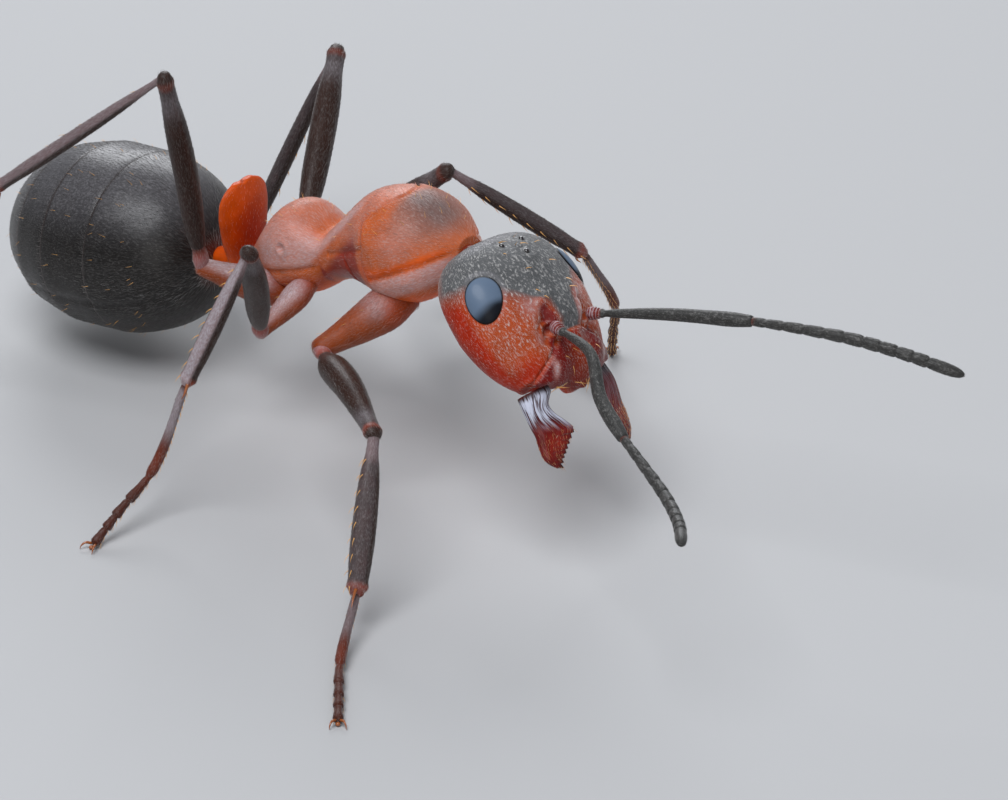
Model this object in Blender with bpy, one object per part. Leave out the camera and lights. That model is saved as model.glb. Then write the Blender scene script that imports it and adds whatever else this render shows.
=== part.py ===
"""Red wood ant worker, life size, standing with its jaws open and both feelers raised.

The ant faces +X, its left side is +Y, and its six feet stand on the plane Z = 0.
Lengths are named in millimetres and angles in degrees; the meshes are scaled to metres last.
"""

import math

import bmesh
import bpy
from mathutils import Euler, Matrix, Vector

MM = 0.001  # metres in one millimetre

# ---------------------------------------------------------------- driving dimensions

FRONT_OF_TRUNK = Vector((1.288, 0.767, 2.62))  # middle of the pronotum's front edge
TRUNK_PITCH = 16.0  # head end raised
HEAD_FROM_TRUNK = Vector((0.770, -0.060, -0.408))  # centre of the head from that edge
HEAD_TURN = (-15.0, 44.0, -7.0)  # roll, nose down, turn to its right

HEAD_BACK = 0.85  # centre of the head to the back of it
HEAD_FRONT = 0.94  # and to the front edge of the clypeus
HEAD_HALF_WIDTH = 0.875
HEAD_CROWN = 0.505  # depth of the head above its centre line
HEAD_THROAT = 0.53  # and below it
HEAD_BLUNTNESS = (3.2, 3.4)  # of its outline from above, back and front
CROWN_BLUNTNESS = (2.0, 2.4)  # of its profile, back and front
CROWN_SQUARENESS = (0.94, 0.98)  # of its upper half seen end on, sideways and up; 1 is an oval
THROAT_SQUARENESS = (0.84, 0.78)
HEAD_TAPER = 0.27  # share of its width lost towards the jaws
THROAT_TAPER = 0.35
CLYPEUS_DROP = 0.12  # how far the clypeus hangs below the brow
MUZZLE_LIFT = 0.16  # and how far the whole mouth end is raised
EYE_AT = Vector((-0.235, 0.72, 0.215))
EYE_SIZE = Vector((0.28, 0.085, 0.21))  # half sizes along, out of and up the head
EYE_LEAN = 36.0  # it faces this far above the side
EYE_TWIST = 20.0  # its front end lies lower than its back end
EYE_YAW = 4.0  # and it faces this far to the back
SOCKET_AT = Vector((0.34, 0.31, 0.56))
JAW_AT = Vector((0.82, 0.50, 0.06))
# edges of the jaw in its own plane: forward, then towards the other jaw
JAW_INNER = ((0.00, 0.148), (0.07, 0.090), (0.125, 0.036), (0.23, 0.043), (0.345, 0.105))
JAW_CORNER = Vector((0.453, 0.145))
JAW_TIP = Vector((0.734, -0.176))
JAW_OUTER = (
    (0.674, -0.244),
    (0.588, -0.281),
    (0.50, -0.281),
    (0.369, -0.257),
    (0.264, -0.25),
    (0.067, -0.204),
    (0.00, -0.20),
)
JAW_THICKNESS = 0.17
JAW_TEETH = 8
TOOTH = 0.035
JAW_DROP = 0.10  # how far its tip curves down
JAW_LEAN = {"r": 35.0, "l": 20.0}  # its outer edge lies this much lower than the inner
JAW_SWING = {"r": 0.0, "l": 3.0}  # how far each jaw is closed from wide open

# mesosoma: distance back, half width, top, bottom
TRUNK = (
    (0.00, 0.22, 0.20, -0.20),
    (0.14, 0.36, 0.31, -0.30),
    (0.36, 0.52, 0.50, -0.42),
    (0.62, 0.61, 0.61, -0.52),
    (0.88, 0.60, 0.65, -0.54),
    (1.14, 0.51, 0.61, -0.45),
    (1.40, 0.44, 0.45, -0.36),
    (1.64, 0.38, 0.28, -0.38),
    (1.82, 0.36, 0.17, -0.43),
    (1.98, 0.41, 0.29, -0.50),
    (2.12, 0.45, 0.41, -0.55),
    (2.28, 0.46, 0.44, -0.56),
    (2.54, 0.40, 0.30, -0.50),
    (2.74, 0.30, 0.04, -0.46),
    (2.86, 0.19, -0.14, -0.42),
)
SUTURES = (0.96, 1.80)  # behind the pronotum and behind the mesothorax
SHORTEST_STRETCH = 0.04  # stations nearer than this to a suture are passed over

PETIOLE_FROM_TRUNK = Vector((-3.02, 0.0, -1.20))
# petiole: distance ahead of the scale, half width, top, bottom, roundness of the corners
PETIOLE = (
    (0.42, 0.15, 0.22, -0.12, 0.9),
    (0.26, 0.15, 0.16, -0.15, 0.9),
    (0.15, 0.18, 0.22, -0.19, 0.9),
    (0.11, 0.31, 0.66, -0.20, 0.7),
    (0.03, 0.385, 0.95, -0.20, 0.6),
    (-0.07, 0.375, 0.92, -0.20, 0.6),
    (-0.13, 0.22, 0.30, -0.19, 0.9),
    (-0.20, 0.14, 0.12, -0.15, 0.9),
    (-0.30, 0.14, 0.08, -0.16, 0.9),
)

GASTER_FROM_TRUNK = Vector((-4.66, 0.0, -1.47))  # its middle
GASTER_DROOP = 8.0
GASTER_HALF = Vector((1.32, 1.04, 0.97))
GASTER_PLATES = (-1.0, -0.22, 0.24, 0.58, 0.83, 1.0)  # plate edges, front to tip
GASTER_BLUNTNESS = 2.3
GASTER_ENDS = 0.985  # the first and last plate stop here, with a small flat

# legs: hip (distance back, below, to the side), then (length, heading, climb) of the coxa,
# femur, tibia and basitarsus; the toes have a length and a heading and end on the floor
LEGS = {
    "leg_r1": (
        (0.74, 0.40, -0.28),
        (1.02, -117.5, -24.4),
        (1.86, -32.3, 0.9),
        (1.58, -60, -52),
        (0.95, -60, -18),
        (1.02, -50),
    ),
    "leg_r2": (
        (1.92, 0.40, -0.27),
        (0.80, -105.8, -21.1),
        (1.97, -53.2, 53.5),
        (1.75, -156, -67),
        (1.05, -101, -61),
        (1.00, -92),
    ),
    "leg_r3": (
        (2.50, 0.48, -0.28),
        (0.85, -147, 16),
        (2.40, -97, 79),
        (2.60, -163, -41),
        (1.45, -150, -64),
        (1.40, -135),
    ),
    "leg_l1": (
        (0.74, 0.40, 0.28),
        (0.93, 122.9, -24.9),
        (1.90, 148, -16),
        (1.58, 45, -34),
        (0.95, -30, -5),
        (1.05, -15),
    ),
    "leg_l2": (
        (1.92, 0.40, 0.27),
        (0.55, 153.3, -7.1),
        (1.95, 6, 44),
        (1.90, 59, -40),
        (1.05, 93, -58),
        (1.10, 133),
    ),
    "leg_l3": (
        (2.50, 0.48, 0.28),
        (0.85, 142, -4),
        (2.40, 121, 27),
        (2.50, -160, -67),
        (1.40, 174, -3),
        (1.40, 178),
    ),
}
LIMB_RADIUS = 0.26  # cover of each leg and feeler
KNEE_RADIUS = 0.17  # and where two lengths of it meet
COXA_RADIUS = 0.27
FOOT_RADIUS = 0.15
STEEP_TOES = 20.0  # toes flatter than this lie along the floor
TREAD = 0.015  # whatever comes this near the floor stands on it
HEEL = 0.35  # share of the basitarsus taken to reach full thickness
MIDTOE = 0.5  # shares of the toes at full thickness, steep and flat
TIPTOE = 0.8

# feelers: (length, heading, climb) of the lengths of the scape, then of the whip
SCAPES = {
    "l": ((1.70, 18, 9),),
    "r": ((0.56, -14, -3), (0.58, -39, -22), (0.56, -27, -16)),
}
WHIPS = {
    "l": ((0.60, 12, 6), (0.56, 14, 2), (0.56, 18, -6), (0.56, 23, -13)),
    "r": ((0.50, -24, -10), (0.50, -27, -7), (0.56, -38, 3), (0.56, -48, 10)),
}

TAPER = 0.12  # length over which a limb slims down to its joint
SHALLOW = 0.35  # joints more oblique than this are treated as if no more so
BLUNT_JOINT = 0.2
MOST_TAPER = 0.42  # share of a limb's length that one taper may take

GAP = 0.03  # clearance between neighbouring pieces
RING = 20  # points round the trunk and gaster
TRUNK_SQUARENESS = 0.88
LIMB_SIDES = 8
SHARP = 40.0  # edges sharper than this are not shaded smooth

# ---------------------------------------------------------------- materials

COLOURS = {
    "red_shell": ((0.42, 0.07, 0.02), 0.38),
    "dark_shell": ((0.03, 0.03, 0.032), 0.4),
    "eye": ((0.10, 0.13, 0.18), 0.15),
    "jaw": ((0.24, 0.02, 0.01), 0.25),
    "leg_shell": ((0.06, 0.025, 0.018), 0.35),
}


def material(name):
    made = bpy.data.materials.get(name)
    if made:
        return made
    colour, roughness = COLOURS[name]
    made = bpy.data.materials.new(name)
    made.use_nodes = True
    shader = made.node_tree.nodes["Principled BSDF"]
    shader.inputs["Base Color"].default_value = (*colour, 1.0)
    shader.inputs["Roughness"].default_value = roughness
    shader.inputs["Metallic"].default_value = 0.0
    return made


# ---------------------------------------------------------------- helpers


def direction(heading, climb):
    """Unit vector at a heading from +X towards +Y and a climb above level."""
    heading, climb = math.radians(heading), math.radians(climb)
    return Vector(
        (
            math.cos(heading) * math.cos(climb),
            math.sin(heading) * math.cos(climb),
            math.sin(climb),
        )
    )


def new_object(name, bm, look):
    """A finished node from a bmesh drawn in millimetres."""
    bm.normal_update()
    bmesh.ops.recalc_face_normals(bm, faces=bm.faces[:])
    mesh = bpy.data.meshes.new(name)
    bm.to_mesh(mesh)
    bm.free()
    mesh.materials.append(material(look))
    mesh.shade_smooth()
    mesh.set_sharp_from_angle(angle=math.radians(SHARP))
    made = bpy.data.objects.new(name, mesh)
    bpy.context.scene.collection.objects.link(made)
    return made


def loft(rings):
    """A closed bmesh through rings of equal point counts, capped at both ends."""
    bm = bmesh.new()
    loops = []
    for ring in rings:
        points = [bm.verts.new(point) for point in ring]
        loops.append([bm.edges.new((points[i - 1], points[i])) for i in range(len(points))])
    for near, far in zip(loops, loops[1:]):
        bmesh.ops.bridge_loops(bm, edges=near + far)
    for end in (loops[0], loops[-1]):
        bmesh.ops.contextual_create(bm, geom=end)
    return bm


def trim(target, cutter):
    """Cut one object by another and keep the result as plain mesh."""
    cut = target.modifiers.new("trim", "BOOLEAN")
    cut.object = cutter
    cut.operation = "DIFFERENCE"
    graph = bpy.context.evaluated_depsgraph_get()
    mesh = bpy.data.meshes.new_from_object(target.evaluated_get(graph))
    target.modifiers.clear()
    target.data = mesh


def as_cutter(made):
    made.hide_render = True
    made.display_type = "WIRE"
    return made


def ellipse_ring(count, half_width, top, bottom, squareness=1.0):
    """Ring in a Y-Z plane with its own half height above and below the axis."""
    ring = []
    for i in range(count):
        angle = math.tau * i / count
        side, up = math.cos(angle), math.sin(angle)
        side = math.copysign(abs(side) ** squareness, side)
        up = math.copysign(abs(up) ** squareness, up)
        ring.append(Vector((0.0, half_width * side, up * (top if up > 0 else -bottom))))
    return ring


def between(stations, at):
    """Stations' values at a distance, smoothly between the two nearest."""
    order = sorted(stations, key=lambda station: station[0])
    for near, far in zip(order, order[1:]):
        if near[0] <= at <= far[0]:
            part = (at - near[0]) / (far[0] - near[0])
            return tuple(a + (b - a) * part for a, b in zip(near[1:], far[1:]))
    return order[0][1:] if at < order[0][0] else order[-1][1:]


# ---------------------------------------------------------------- frames of the body

trunk_turn = Matrix.Rotation(math.radians(-TRUNK_PITCH), 3, "Y")
head_turn = Euler([math.radians(a) for a in HEAD_TURN], "XYZ").to_matrix()
head_centre = FRONT_OF_TRUNK + HEAD_FROM_TRUNK


def on_trunk(back, side, up):
    return FRONT_OF_TRUNK + trunk_turn @ Vector((-back, side, up))


def on_head(point):
    return head_centre + head_turn @ Vector(point)


def mirrored(point, side):
    return Vector((point[0], point[1] if side == "l" else -point[1], point[2]))


# ---------------------------------------------------------------- head


def head_point(x, side, up, extra):
    """Skin of the head: x from -1 at the back to 1 in front, side and up round it."""
    end = 0 if x < 0 else 1
    front = max(0.0, x)
    length = (HEAD_BACK, HEAD_FRONT)[end] + extra
    reach = (1.0 - abs(x) ** HEAD_BLUNTNESS[end]) ** (1 / HEAD_BLUNTNESS[end])
    width = HEAD_HALF_WIDTH * (1.0 - HEAD_TAPER * front**1.5) * reach + extra
    arch = (1.0 - abs(x) ** CROWN_BLUNTNESS[end]) ** (1 / CROWN_BLUNTNESS[end])
    crown = HEAD_CROWN * arch + extra - CLYPEUS_DROP * front**2
    throat = HEAD_THROAT * (1.0 - THROAT_TAPER * front) * reach + extra
    height = crown if up > 0 else throat
    return Vector((x * length, side * width, up * height + MUZZLE_LIFT * front**3))


def head_shape(extra=0.0):
    bm = bmesh.new()
    bmesh.ops.create_uvsphere(bm, u_segments=28, v_segments=18, radius=1.0)
    for vertex in bm.verts:
        x = vertex.co.z
        round_ = math.hypot(vertex.co.x, vertex.co.y)
        side, up = (vertex.co.y / round_, -vertex.co.x / round_) if round_ > 1e-6 else (0.0, 0.0)
        squareness = CROWN_SQUARENESS if up > 0 else THROAT_SQUARENESS
        side = math.copysign(abs(side) ** squareness[0], side)
        up = math.copysign(abs(up) ** squareness[1], up)
        vertex.co = on_head(head_point(x, side, up, extra))
    return bm


def eye_shape(side, extra=0.0):
    bm = bmesh.new()
    bmesh.ops.create_uvsphere(bm, u_segments=16, v_segments=10, radius=1.0)
    turns = ((EYE_LEAN, "X"), (EYE_TWIST, "Y"), (EYE_YAW, "Z"))
    lean, twist, yaw = (Matrix.Rotation(math.radians(angle), 3, axis) for angle, axis in turns)
    for vertex in bm.verts:
        half = Vector([a * (b + extra) for a, b in zip(vertex.co, EYE_SIZE)])
        vertex.co = on_head(mirrored(EYE_AT + lean @ twist @ yaw @ half, side))
    return bm


def jaw_outline():
    """Edge of the jaw in its own plane, with teeth from the corner to the tip."""
    outline = [Vector(point) for point in JAW_INNER]
    outline.append(JAW_CORNER)
    pace = (JAW_TIP - JAW_CORNER) / JAW_TEETH
    notch = Vector((-pace.y, pace.x)).normalized() * -TOOTH
    for i in range(JAW_TEETH):
        outline.append(JAW_CORNER + pace * (i + 0.5) + notch)
        outline.append(JAW_CORNER + pace * (i + 1))
    return outline + [Vector(point) for point in JAW_OUTER]


def jaw(side, head_cutter):
    bm = bmesh.new()
    swing = Matrix.Rotation(math.radians(JAW_SWING[side]), 2)
    lean = Matrix.Rotation(math.radians(JAW_LEAN[side]), 3, "X")
    face = bm.faces.new([bm.verts.new((*point, -JAW_THICKNESS / 2)) for point in jaw_outline()])
    raised = bmesh.ops.extrude_face_region(bm, geom=[face])["geom"]
    for item in raised:
        if isinstance(item, bmesh.types.BMVert):
            item.co.z = JAW_THICKNESS / 2
    for vertex in bm.verts:
        drop = JAW_DROP * (vertex.co.x / JAW_TIP.x) ** 2
        flat = swing @ vertex.co.xy
        place = lean @ Vector((flat.x, flat.y, vertex.co.z - drop))
        if side == "l":
            place.y = -place.y
        vertex.co = on_head(mirrored(JAW_AT, side) + place)
    trim(new_object("jaw_" + side, bm, "jaw"), head_cutter)


def head(head_cutter):
    skull = new_object("head", head_shape(), "red_shell")
    for side in "rl":
        socket = as_cutter(new_object("eye_cutter_" + side, eye_shape(side, GAP), "eye"))
        trim(skull, socket)
        new_object("eye_" + side, eye_shape(side), "eye")
        jaw(side, head_cutter)


# ---------------------------------------------------------------- mesosoma, petiole, gaster


def trunk_shape(start, end, extra=0.0):
    """Stretch of the mesosoma between two distances back from its front edge."""
    marks = [start]
    marks += [row[0] for row in TRUNK if start + SHORTEST_STRETCH < row[0] < end - SHORTEST_STRETCH]
    marks.append(end)
    rings = []
    for mark in marks:
        width, top, bottom = between(TRUNK, mark)
        ring = ellipse_ring(RING, width + extra, top + extra, bottom - extra, TRUNK_SQUARENESS)
        if top < 0:
            middle = (top + bottom) / 2
            half = (top - bottom) / 2 + extra
            ring = [Vector((0, p.y, middle)) for p in ring]
            ring = [
                Vector((0, p.y, middle + half * math.sin(math.tau * i / RING)))
                for i, p in enumerate(ring)
            ]
        rings.append([on_trunk(mark, point.y, point.z) for point in ring])
    return loft(rings)


def trunk():
    bounds = (0.0, *SUTURES, TRUNK[-1][0])
    for name, start, end in zip(("pronotum", "mesothorax", "propodeum"), bounds, bounds[1:]):
        near = start + (GAP / 2 if start else 0.0)
        new_object(name, trunk_shape(near, end - GAP / 2), "red_shell")


def petiole():
    rings = []
    for ahead, *shape in PETIOLE:
        place = FRONT_OF_TRUNK + PETIOLE_FROM_TRUNK + Vector((ahead, 0, 0))
        rings.append([place + point for point in ellipse_ring(RING, *shape)])
    return new_object("petiole", loft(rings), "red_shell")


def gaster():
    """An ovoid parted into its five plates by thin cuts across it."""
    turn = Matrix.Rotation(math.radians(-GASTER_DROOP), 3, "Y")
    middle = FRONT_OF_TRUNK + GASTER_FROM_TRUNK
    for number, (start, end) in enumerate(zip(GASTER_PLATES, GASTER_PLATES[1:]), 1):
        near = max(start + GAP / 2 / GASTER_HALF.x, -GASTER_ENDS)
        far = min(end - GAP / 2 / GASTER_HALF.x, GASTER_ENDS)
        rings = []
        steps = 5 if number == 1 else 3
        for i in range(steps + 1):
            along = near + (far - near) * i / steps
            reach = (1 - abs(along) ** GASTER_BLUNTNESS) ** (1 / GASTER_BLUNTNESS)
            width, height = GASTER_HALF.y * reach, GASTER_HALF.z * reach
            ring = ellipse_ring(RING, width, height, -height)
            rings.append([middle + turn @ (p + Vector((-along * GASTER_HALF.x, 0, 0))) for p in ring])
        new_object("gaster_" + str(number), loft(rings), "dark_shell")


# ---------------------------------------------------------------- legs and feelers


def tube(path, radii, start_normal=None, end_normal=None):
    """Tube along a path; its first and last rings may lie in planes of their own."""
    rings = []
    last = len(path) - 1
    for i, (place, radius) in enumerate(zip(path, radii)):
        ahead = (path[min(i + 1, last)] - path[max(i - 1, 0)]).normalized()
        across = ahead.cross(Vector((0, 0, 1))).normalized()
        up = across.cross(ahead)
        plane = {0: start_normal, last: end_normal}.get(i)
        ring = []
        for k in range(LIMB_SIDES):
            angle = math.tau * (k + 0.5) / LIMB_SIDES
            point = place + radius * (math.cos(angle) * across + math.sin(angle) * up)
            if plane:
                point += ahead * ((place - point).dot(plane) / ahead.dot(plane))
            ring.append(point)
        rings.append(ring)
    return loft(rings)


def limb(name, joints, normals, radius, look, ends=(KNEE_RADIUS, KNEE_RADIUS)):
    """One straight length between two joints, slimmer at its ends, set back by the gap."""
    start, end = joints
    along = (end - start).normalized()
    back = [GAP / 2 / max(BLUNT_JOINT, abs(along.dot(normal))) for normal in normals]
    start, end = start + along * back[0], end - along * back[1]
    length = (end - start).length
    slim = [
        min(MOST_TAPER * length, TAPER + small / max(SHALLOW, abs(along.dot(normal))))
        for small, normal in zip(ends, normals)
    ]
    path = [start, start + along * slim[0], end - along * slim[1], end]
    radii = [ends[0], radius, radius, ends[1]]
    return new_object(name, tube(path, radii, *normals), look)


def leg_joints(name):
    """Hip, trochanter, knee, ankle, toe root and toe tip of one leg."""
    hip, *lengths, toes = LEGS[name]
    joints = [on_trunk(hip[0], hip[2], -hip[1])]
    for length, heading, climb in lengths:
        joints.append(joints[-1] + length * direction(heading, climb))
    length, heading = toes
    climb = -math.degrees(math.asin(joints[-1].z / length))
    joints.append(joints[-1] + length * direction(heading, climb))
    return joints


def bisector(before, corner, after):
    """Normal of the plane in which two lengths of a limb meet."""
    return ((corner - before).normalized() + (after - corner).normalized()).normalized()


def leg(name, trunk_cutter):
    joints = leg_joints(name)
    normals = [(joints[1] - joints[0]).normalized()]
    normals += [bisector(*joints[i - 1 : i + 2]) for i in range(1, 4)]
    ends = (COXA_RADIUS, KNEE_RADIUS)
    coxa = limb(name + "_coxa", joints[0:2], normals[0:2], COXA_RADIUS, "red_shell", ends)
    trim(coxa, trunk_cutter)
    femur = limb(name + "_femur", joints[1:3], normals[1:3], LIMB_RADIUS, "leg_shell")
    trim(femur, trunk_cutter)
    limb(name + "_tibia", joints[2:4], normals[2:4], LIMB_RADIUS, "leg_shell")
    tarsus(name + "_tarsus", joints[3:6], normals[3])


def tarsus(name, joints, ankle_normal):
    """Basitarsus and toes, ending in a flat on the floor or lying along it."""
    ankle, root, tip = joints
    ahead = (root - ankle).normalized()
    start = ankle + ahead * GAP / 2 / max(BLUNT_JOINT, abs(ahead.dot(ankle_normal)))
    toes = (tip - root).normalized()
    floor = Vector((0, 0, 1))
    radii = [KNEE_RADIUS, LIMB_RADIUS, LIMB_RADIUS, LIMB_RADIUS, FOOT_RADIUS]
    if toes.z < -math.sin(math.radians(STEEP_TOES)):
        level = Vector((toes.x, toes.y, 0))
        tip = tip + level * FOOT_RADIUS / level.length * (toes.z / level.length)
        path = [start, start.lerp(root, HEEL), root, root.lerp(tip, MIDTOE), tip]
        resting = path[1:-1]
    else:
        floor = None
        path = [start, start.lerp(root, HEEL), root, root.lerp(tip, TIPTOE), tip]
        resting = path[1:]
    flat = math.cos(math.pi / LIMB_SIDES)
    for place, radius in zip(resting, radii[1:]):
        place.z = max(place.z, radius * flat)
    bm = tube(path, radii, ankle_normal, floor)
    for vertex in bm.verts:
        if vertex.co.z < TREAD:
            vertex.co.z = 0.0
    new_object(name, bm, "leg_shell")


def feeler(side, head_cutter):
    joints = [on_head(mirrored(SOCKET_AT, side))]
    for length, heading, climb in SCAPES[side]:
        joints.append(joints[-1] + length * direction(heading, climb))
    elbow = joints[-1]
    whip = [elbow]
    for length, heading, climb in WHIPS[side]:
        whip.append(whip[-1] + length * direction(heading, climb))
    bend = bisector(joints[-2], elbow, whip[1])
    first = (joints[1] - joints[0]).normalized()
    last = (whip[-1] - whip[-2]).normalized()
    joints[-1] = elbow - (elbow - joints[-2]).normalized() * GAP / 2
    whip[0] = elbow + (whip[1] - elbow).normalized() * GAP / 2
    radii = [KNEE_RADIUS] + [LIMB_RADIUS] * (len(joints) - 2) + [LIMB_RADIUS]
    scape = new_object("scape_" + side, tube(joints, radii, first, bend), "dark_shell")
    trim(scape, head_cutter)
    radii = [LIMB_RADIUS] * (len(whip) - 1) + [KNEE_RADIUS]
    new_object("whip_" + side, tube(whip, radii, bend, last), "dark_shell")


def build():
    for old in list(bpy.data.objects):
        bpy.data.objects.remove(old, do_unlink=True)
    head_cutter = as_cutter(new_object("head_cutter", head_shape(GAP), "red_shell"))
    head(head_cutter)
    trunk()
    stalk = petiole()
    gaster()
    trunk_cutter = as_cutter(
        new_object("trunk_cutter", trunk_shape(0.0, TRUNK[-1][0] + GAP, GAP), "red_shell")
    )
    trim(bpy.data.objects["pronotum"], head_cutter)
    trim(stalk, trunk_cutter)
    for side in "rl":
        feeler(side, head_cutter)
    for name in LEGS:
        leg(name, trunk_cutter)
    for made in bpy.data.objects:
        made.data.transform(Matrix.Scale(MM, 4))


build()
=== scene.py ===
"""Red wood ant worker, life size: shell plates, eyes, jaws, feelers, legs, bristles and down."""

import math

import bmesh
import bpy
import numpy as np
from bpy.props import FloatProperty, FloatVectorProperty, IntProperty, PointerProperty
from mathutils import Euler, Matrix, Vector


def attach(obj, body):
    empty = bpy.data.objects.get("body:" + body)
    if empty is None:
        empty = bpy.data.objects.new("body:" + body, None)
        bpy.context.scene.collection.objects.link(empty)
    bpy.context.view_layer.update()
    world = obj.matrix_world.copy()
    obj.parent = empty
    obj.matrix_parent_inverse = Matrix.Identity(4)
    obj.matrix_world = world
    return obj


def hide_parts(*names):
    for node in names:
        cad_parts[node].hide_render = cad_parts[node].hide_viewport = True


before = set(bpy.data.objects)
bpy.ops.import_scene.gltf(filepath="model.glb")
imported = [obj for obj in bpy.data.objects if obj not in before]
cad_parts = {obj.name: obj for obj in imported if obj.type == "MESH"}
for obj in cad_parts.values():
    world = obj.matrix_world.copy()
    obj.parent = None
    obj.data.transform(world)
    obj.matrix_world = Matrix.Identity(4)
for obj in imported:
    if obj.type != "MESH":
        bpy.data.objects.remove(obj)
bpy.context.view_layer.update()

bl_info = {
    "name": "Red wood ant",
    "version": (1, 0, 0),
    "blender": (4, 5, 0),
    "location": "3D View > Sidebar > Ant",
    "description": "Builds a life-size red wood ant worker piece by piece",
    "category": "Add Mesh",
}

MM = 0.001  # metres in one millimetre; shapes are drawn in millimetres and scaled last
TAU = math.tau
WELD = 2e-4  # points of a seam or a pole that lie this near are one

# ---------------------------------------------------------------- where the parts stand

# Lengths are in millimetres and angles in degrees. The trunk's frame starts at its front end and
# is pitched; the head's frame starts at its middle and is turned by HEAD_TURN.
FRONT_OF_TRUNK = np.array((1.288, 0.767, 2.62))
TRUNK_PITCH = 16.0
HEAD_FROM_TRUNK = np.array((0.770, -0.060, -0.408))
HEAD_TURN = (-15.0, 44.0, -7.0)
HEAD_BACK = 0.84
HEAD_FRONT = 0.93
HEAD_HALF_WIDTH = 0.86
HEAD_CROWN = 0.49
HEAD_THROAT = 0.515
HEAD_BLUNTNESS = (3.2, 3.4)  # of its outline from above, back and front
CROWN_BLUNTNESS = (2.0, 2.4)  # of its profile, back and front
CROWN_SQUARENESS = (0.94, 0.98)  # of its upper half seen end on, sideways and up
THROAT_SQUARENESS = (0.84, 0.78)
CHEEK_TAPER = 0.27  # share of its width that the head loses to the front
THROAT_TAPER = 0.35
FACE_DIP = 0.10  # fall of the face to the front
MOUTH_RISE = 0.16  # lift of the whole front edge
EYE_AT = np.array((-0.235, 0.72, 0.215))
EYE_SIZE = np.array((0.246, 0.050, 0.188))  # half sizes along, out of and across the eye
EYE_LEAN = 36.0
EYE_TWIST = 20.0
EYE_TAPER = 0.10  # share by which the eye narrows to its front end
EYE_SUNK = 0.004
SOCKET_AT = np.array((0.34, 0.31, 0.56))
JAW_AT = np.array((0.82, 0.50, 0.06))
JAW_SWING = {"r": 0.0, "l": 3.0}
JAW_LEAN = {"r": 35.0, "l": 20.0}
JAW_DROP = 0.10
JAW_REACH = 0.73  # from hinge to tip
OCELLI = ((-0.51, 0.0), (-0.67, 0.165), (-0.67, -0.165))

# mesosoma: distance back, half width, top, bottom
TRUNK = (
    (-0.02, 0.18, 0.16, -0.18),
    (0.14, 0.35, 0.30, -0.30),
    (0.36, 0.51, 0.49, -0.41),
    (0.62, 0.595, 0.595, -0.50),
    (0.88, 0.585, 0.635, -0.52),
    (1.14, 0.50, 0.595, -0.43),
    (1.40, 0.43, 0.435, -0.34),
    (1.64, 0.365, 0.265, -0.36),
    (1.82, 0.35, 0.155, -0.41),
    (1.98, 0.40, 0.275, -0.48),
    (2.12, 0.435, 0.39, -0.53),
    (2.28, 0.445, 0.42, -0.54),
    (2.54, 0.39, 0.285, -0.485),
    (2.74, 0.29, 0.04, -0.45),
    (2.87, 0.17, -0.16, -0.41),
)
TRUNK_SQUARENESS = 0.9
SUTURES = (0.96, 1.80)  # distances back of the pronotum's rear edge and of the deep groove
PETIOLE_FROM_TRUNK = np.array((-3.02, 0.0, -1.20))
GASTER_FROM_TRUNK = np.array((-4.66, 0.0, -1.47))
GASTER_DROOP = 8.0
GASTER_HALF = np.array((1.30, 1.02, 0.95))
GASTER_PLATES = (-1.0, -0.22, 0.24, 0.58, 0.83, 1.0)

# hip (distance back, below, to the side), then (length, heading, climb) of the coxa, femur,
# tibia and basitarsus; the toes have a length and a heading and end on the floor
LEGS = {
    "leg_r1": (
        (0.74, 0.40, -0.28), (1.02, -117.5, -24.4), (1.86, -32.3, 0.9),
        (1.58, -60, -52), (0.95, -60, -18), (1.02, -50),
    ),
    "leg_r2": (
        (1.92, 0.40, -0.27), (0.80, -105.8, -21.1), (1.97, -53.2, 53.5),
        (1.75, -156, -67), (1.05, -101, -61), (1.00, -92),
    ),
    "leg_r3": (
        (2.50, 0.48, -0.28), (0.85, -147, 16), (2.40, -97, 79),
        (2.60, -163, -41), (1.45, -150, -64), (1.40, -135),
    ),
    "leg_l1": (
        (0.74, 0.40, 0.28), (0.93, 122.9, -24.9), (1.90, 148, -16),
        (1.58, 45, -34), (0.95, -30, -5), (1.05, -15),
    ),
    "leg_l2": (
        (1.92, 0.40, 0.27), (0.55, 153.3, -7.1), (1.95, 6, 44),
        (1.90, 59, -40), (1.05, 93, -58), (1.10, 133),
    ),
    "leg_l3": (
        (2.50, 0.48, 0.28), (0.85, 142, -4), (2.40, 121, 27),
        (2.50, -160, -67), (1.40, 174, -3), (1.40, 178),
    ),
}
# (length, heading, climb) of each stretch of the feelers, and the lengths of the whip's joints
SCAPES = {"l": ((1.70, 18, 9),), "r": ((0.56, -14, -3), (0.58, -39, -22), (0.56, -27, -16))}
WHIPS = {
    "l": ((0.60, 12, 6), (0.56, 14, 2), (0.56, 18, -6), (0.56, 23, -13)),
    "r": ((0.50, -24, -10), (0.50, -27, -7), (0.56, -38, 3), (0.56, -48, 10)),
}
WHIP_JOINTS = (0.17, 0.19, 0.22, 0.22, 0.21, 0.20, 0.18, 0.17, 0.17, 0.15, 0.36)

# ---------------------------------------------------------------- what a user may change


def colour(name, description, default):
    return FloatVectorProperty(
        name=name, description=description, default=default, size=3, min=0.0, max=1.0,
        subtype="COLOR",
    )


def length(name, description, default):
    return FloatProperty(
        name=name, description=description, default=default, min=1e-6, soft_max=0.001,
        precision=6, unit="LENGTH", subtype="DISTANCE",
    )


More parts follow.
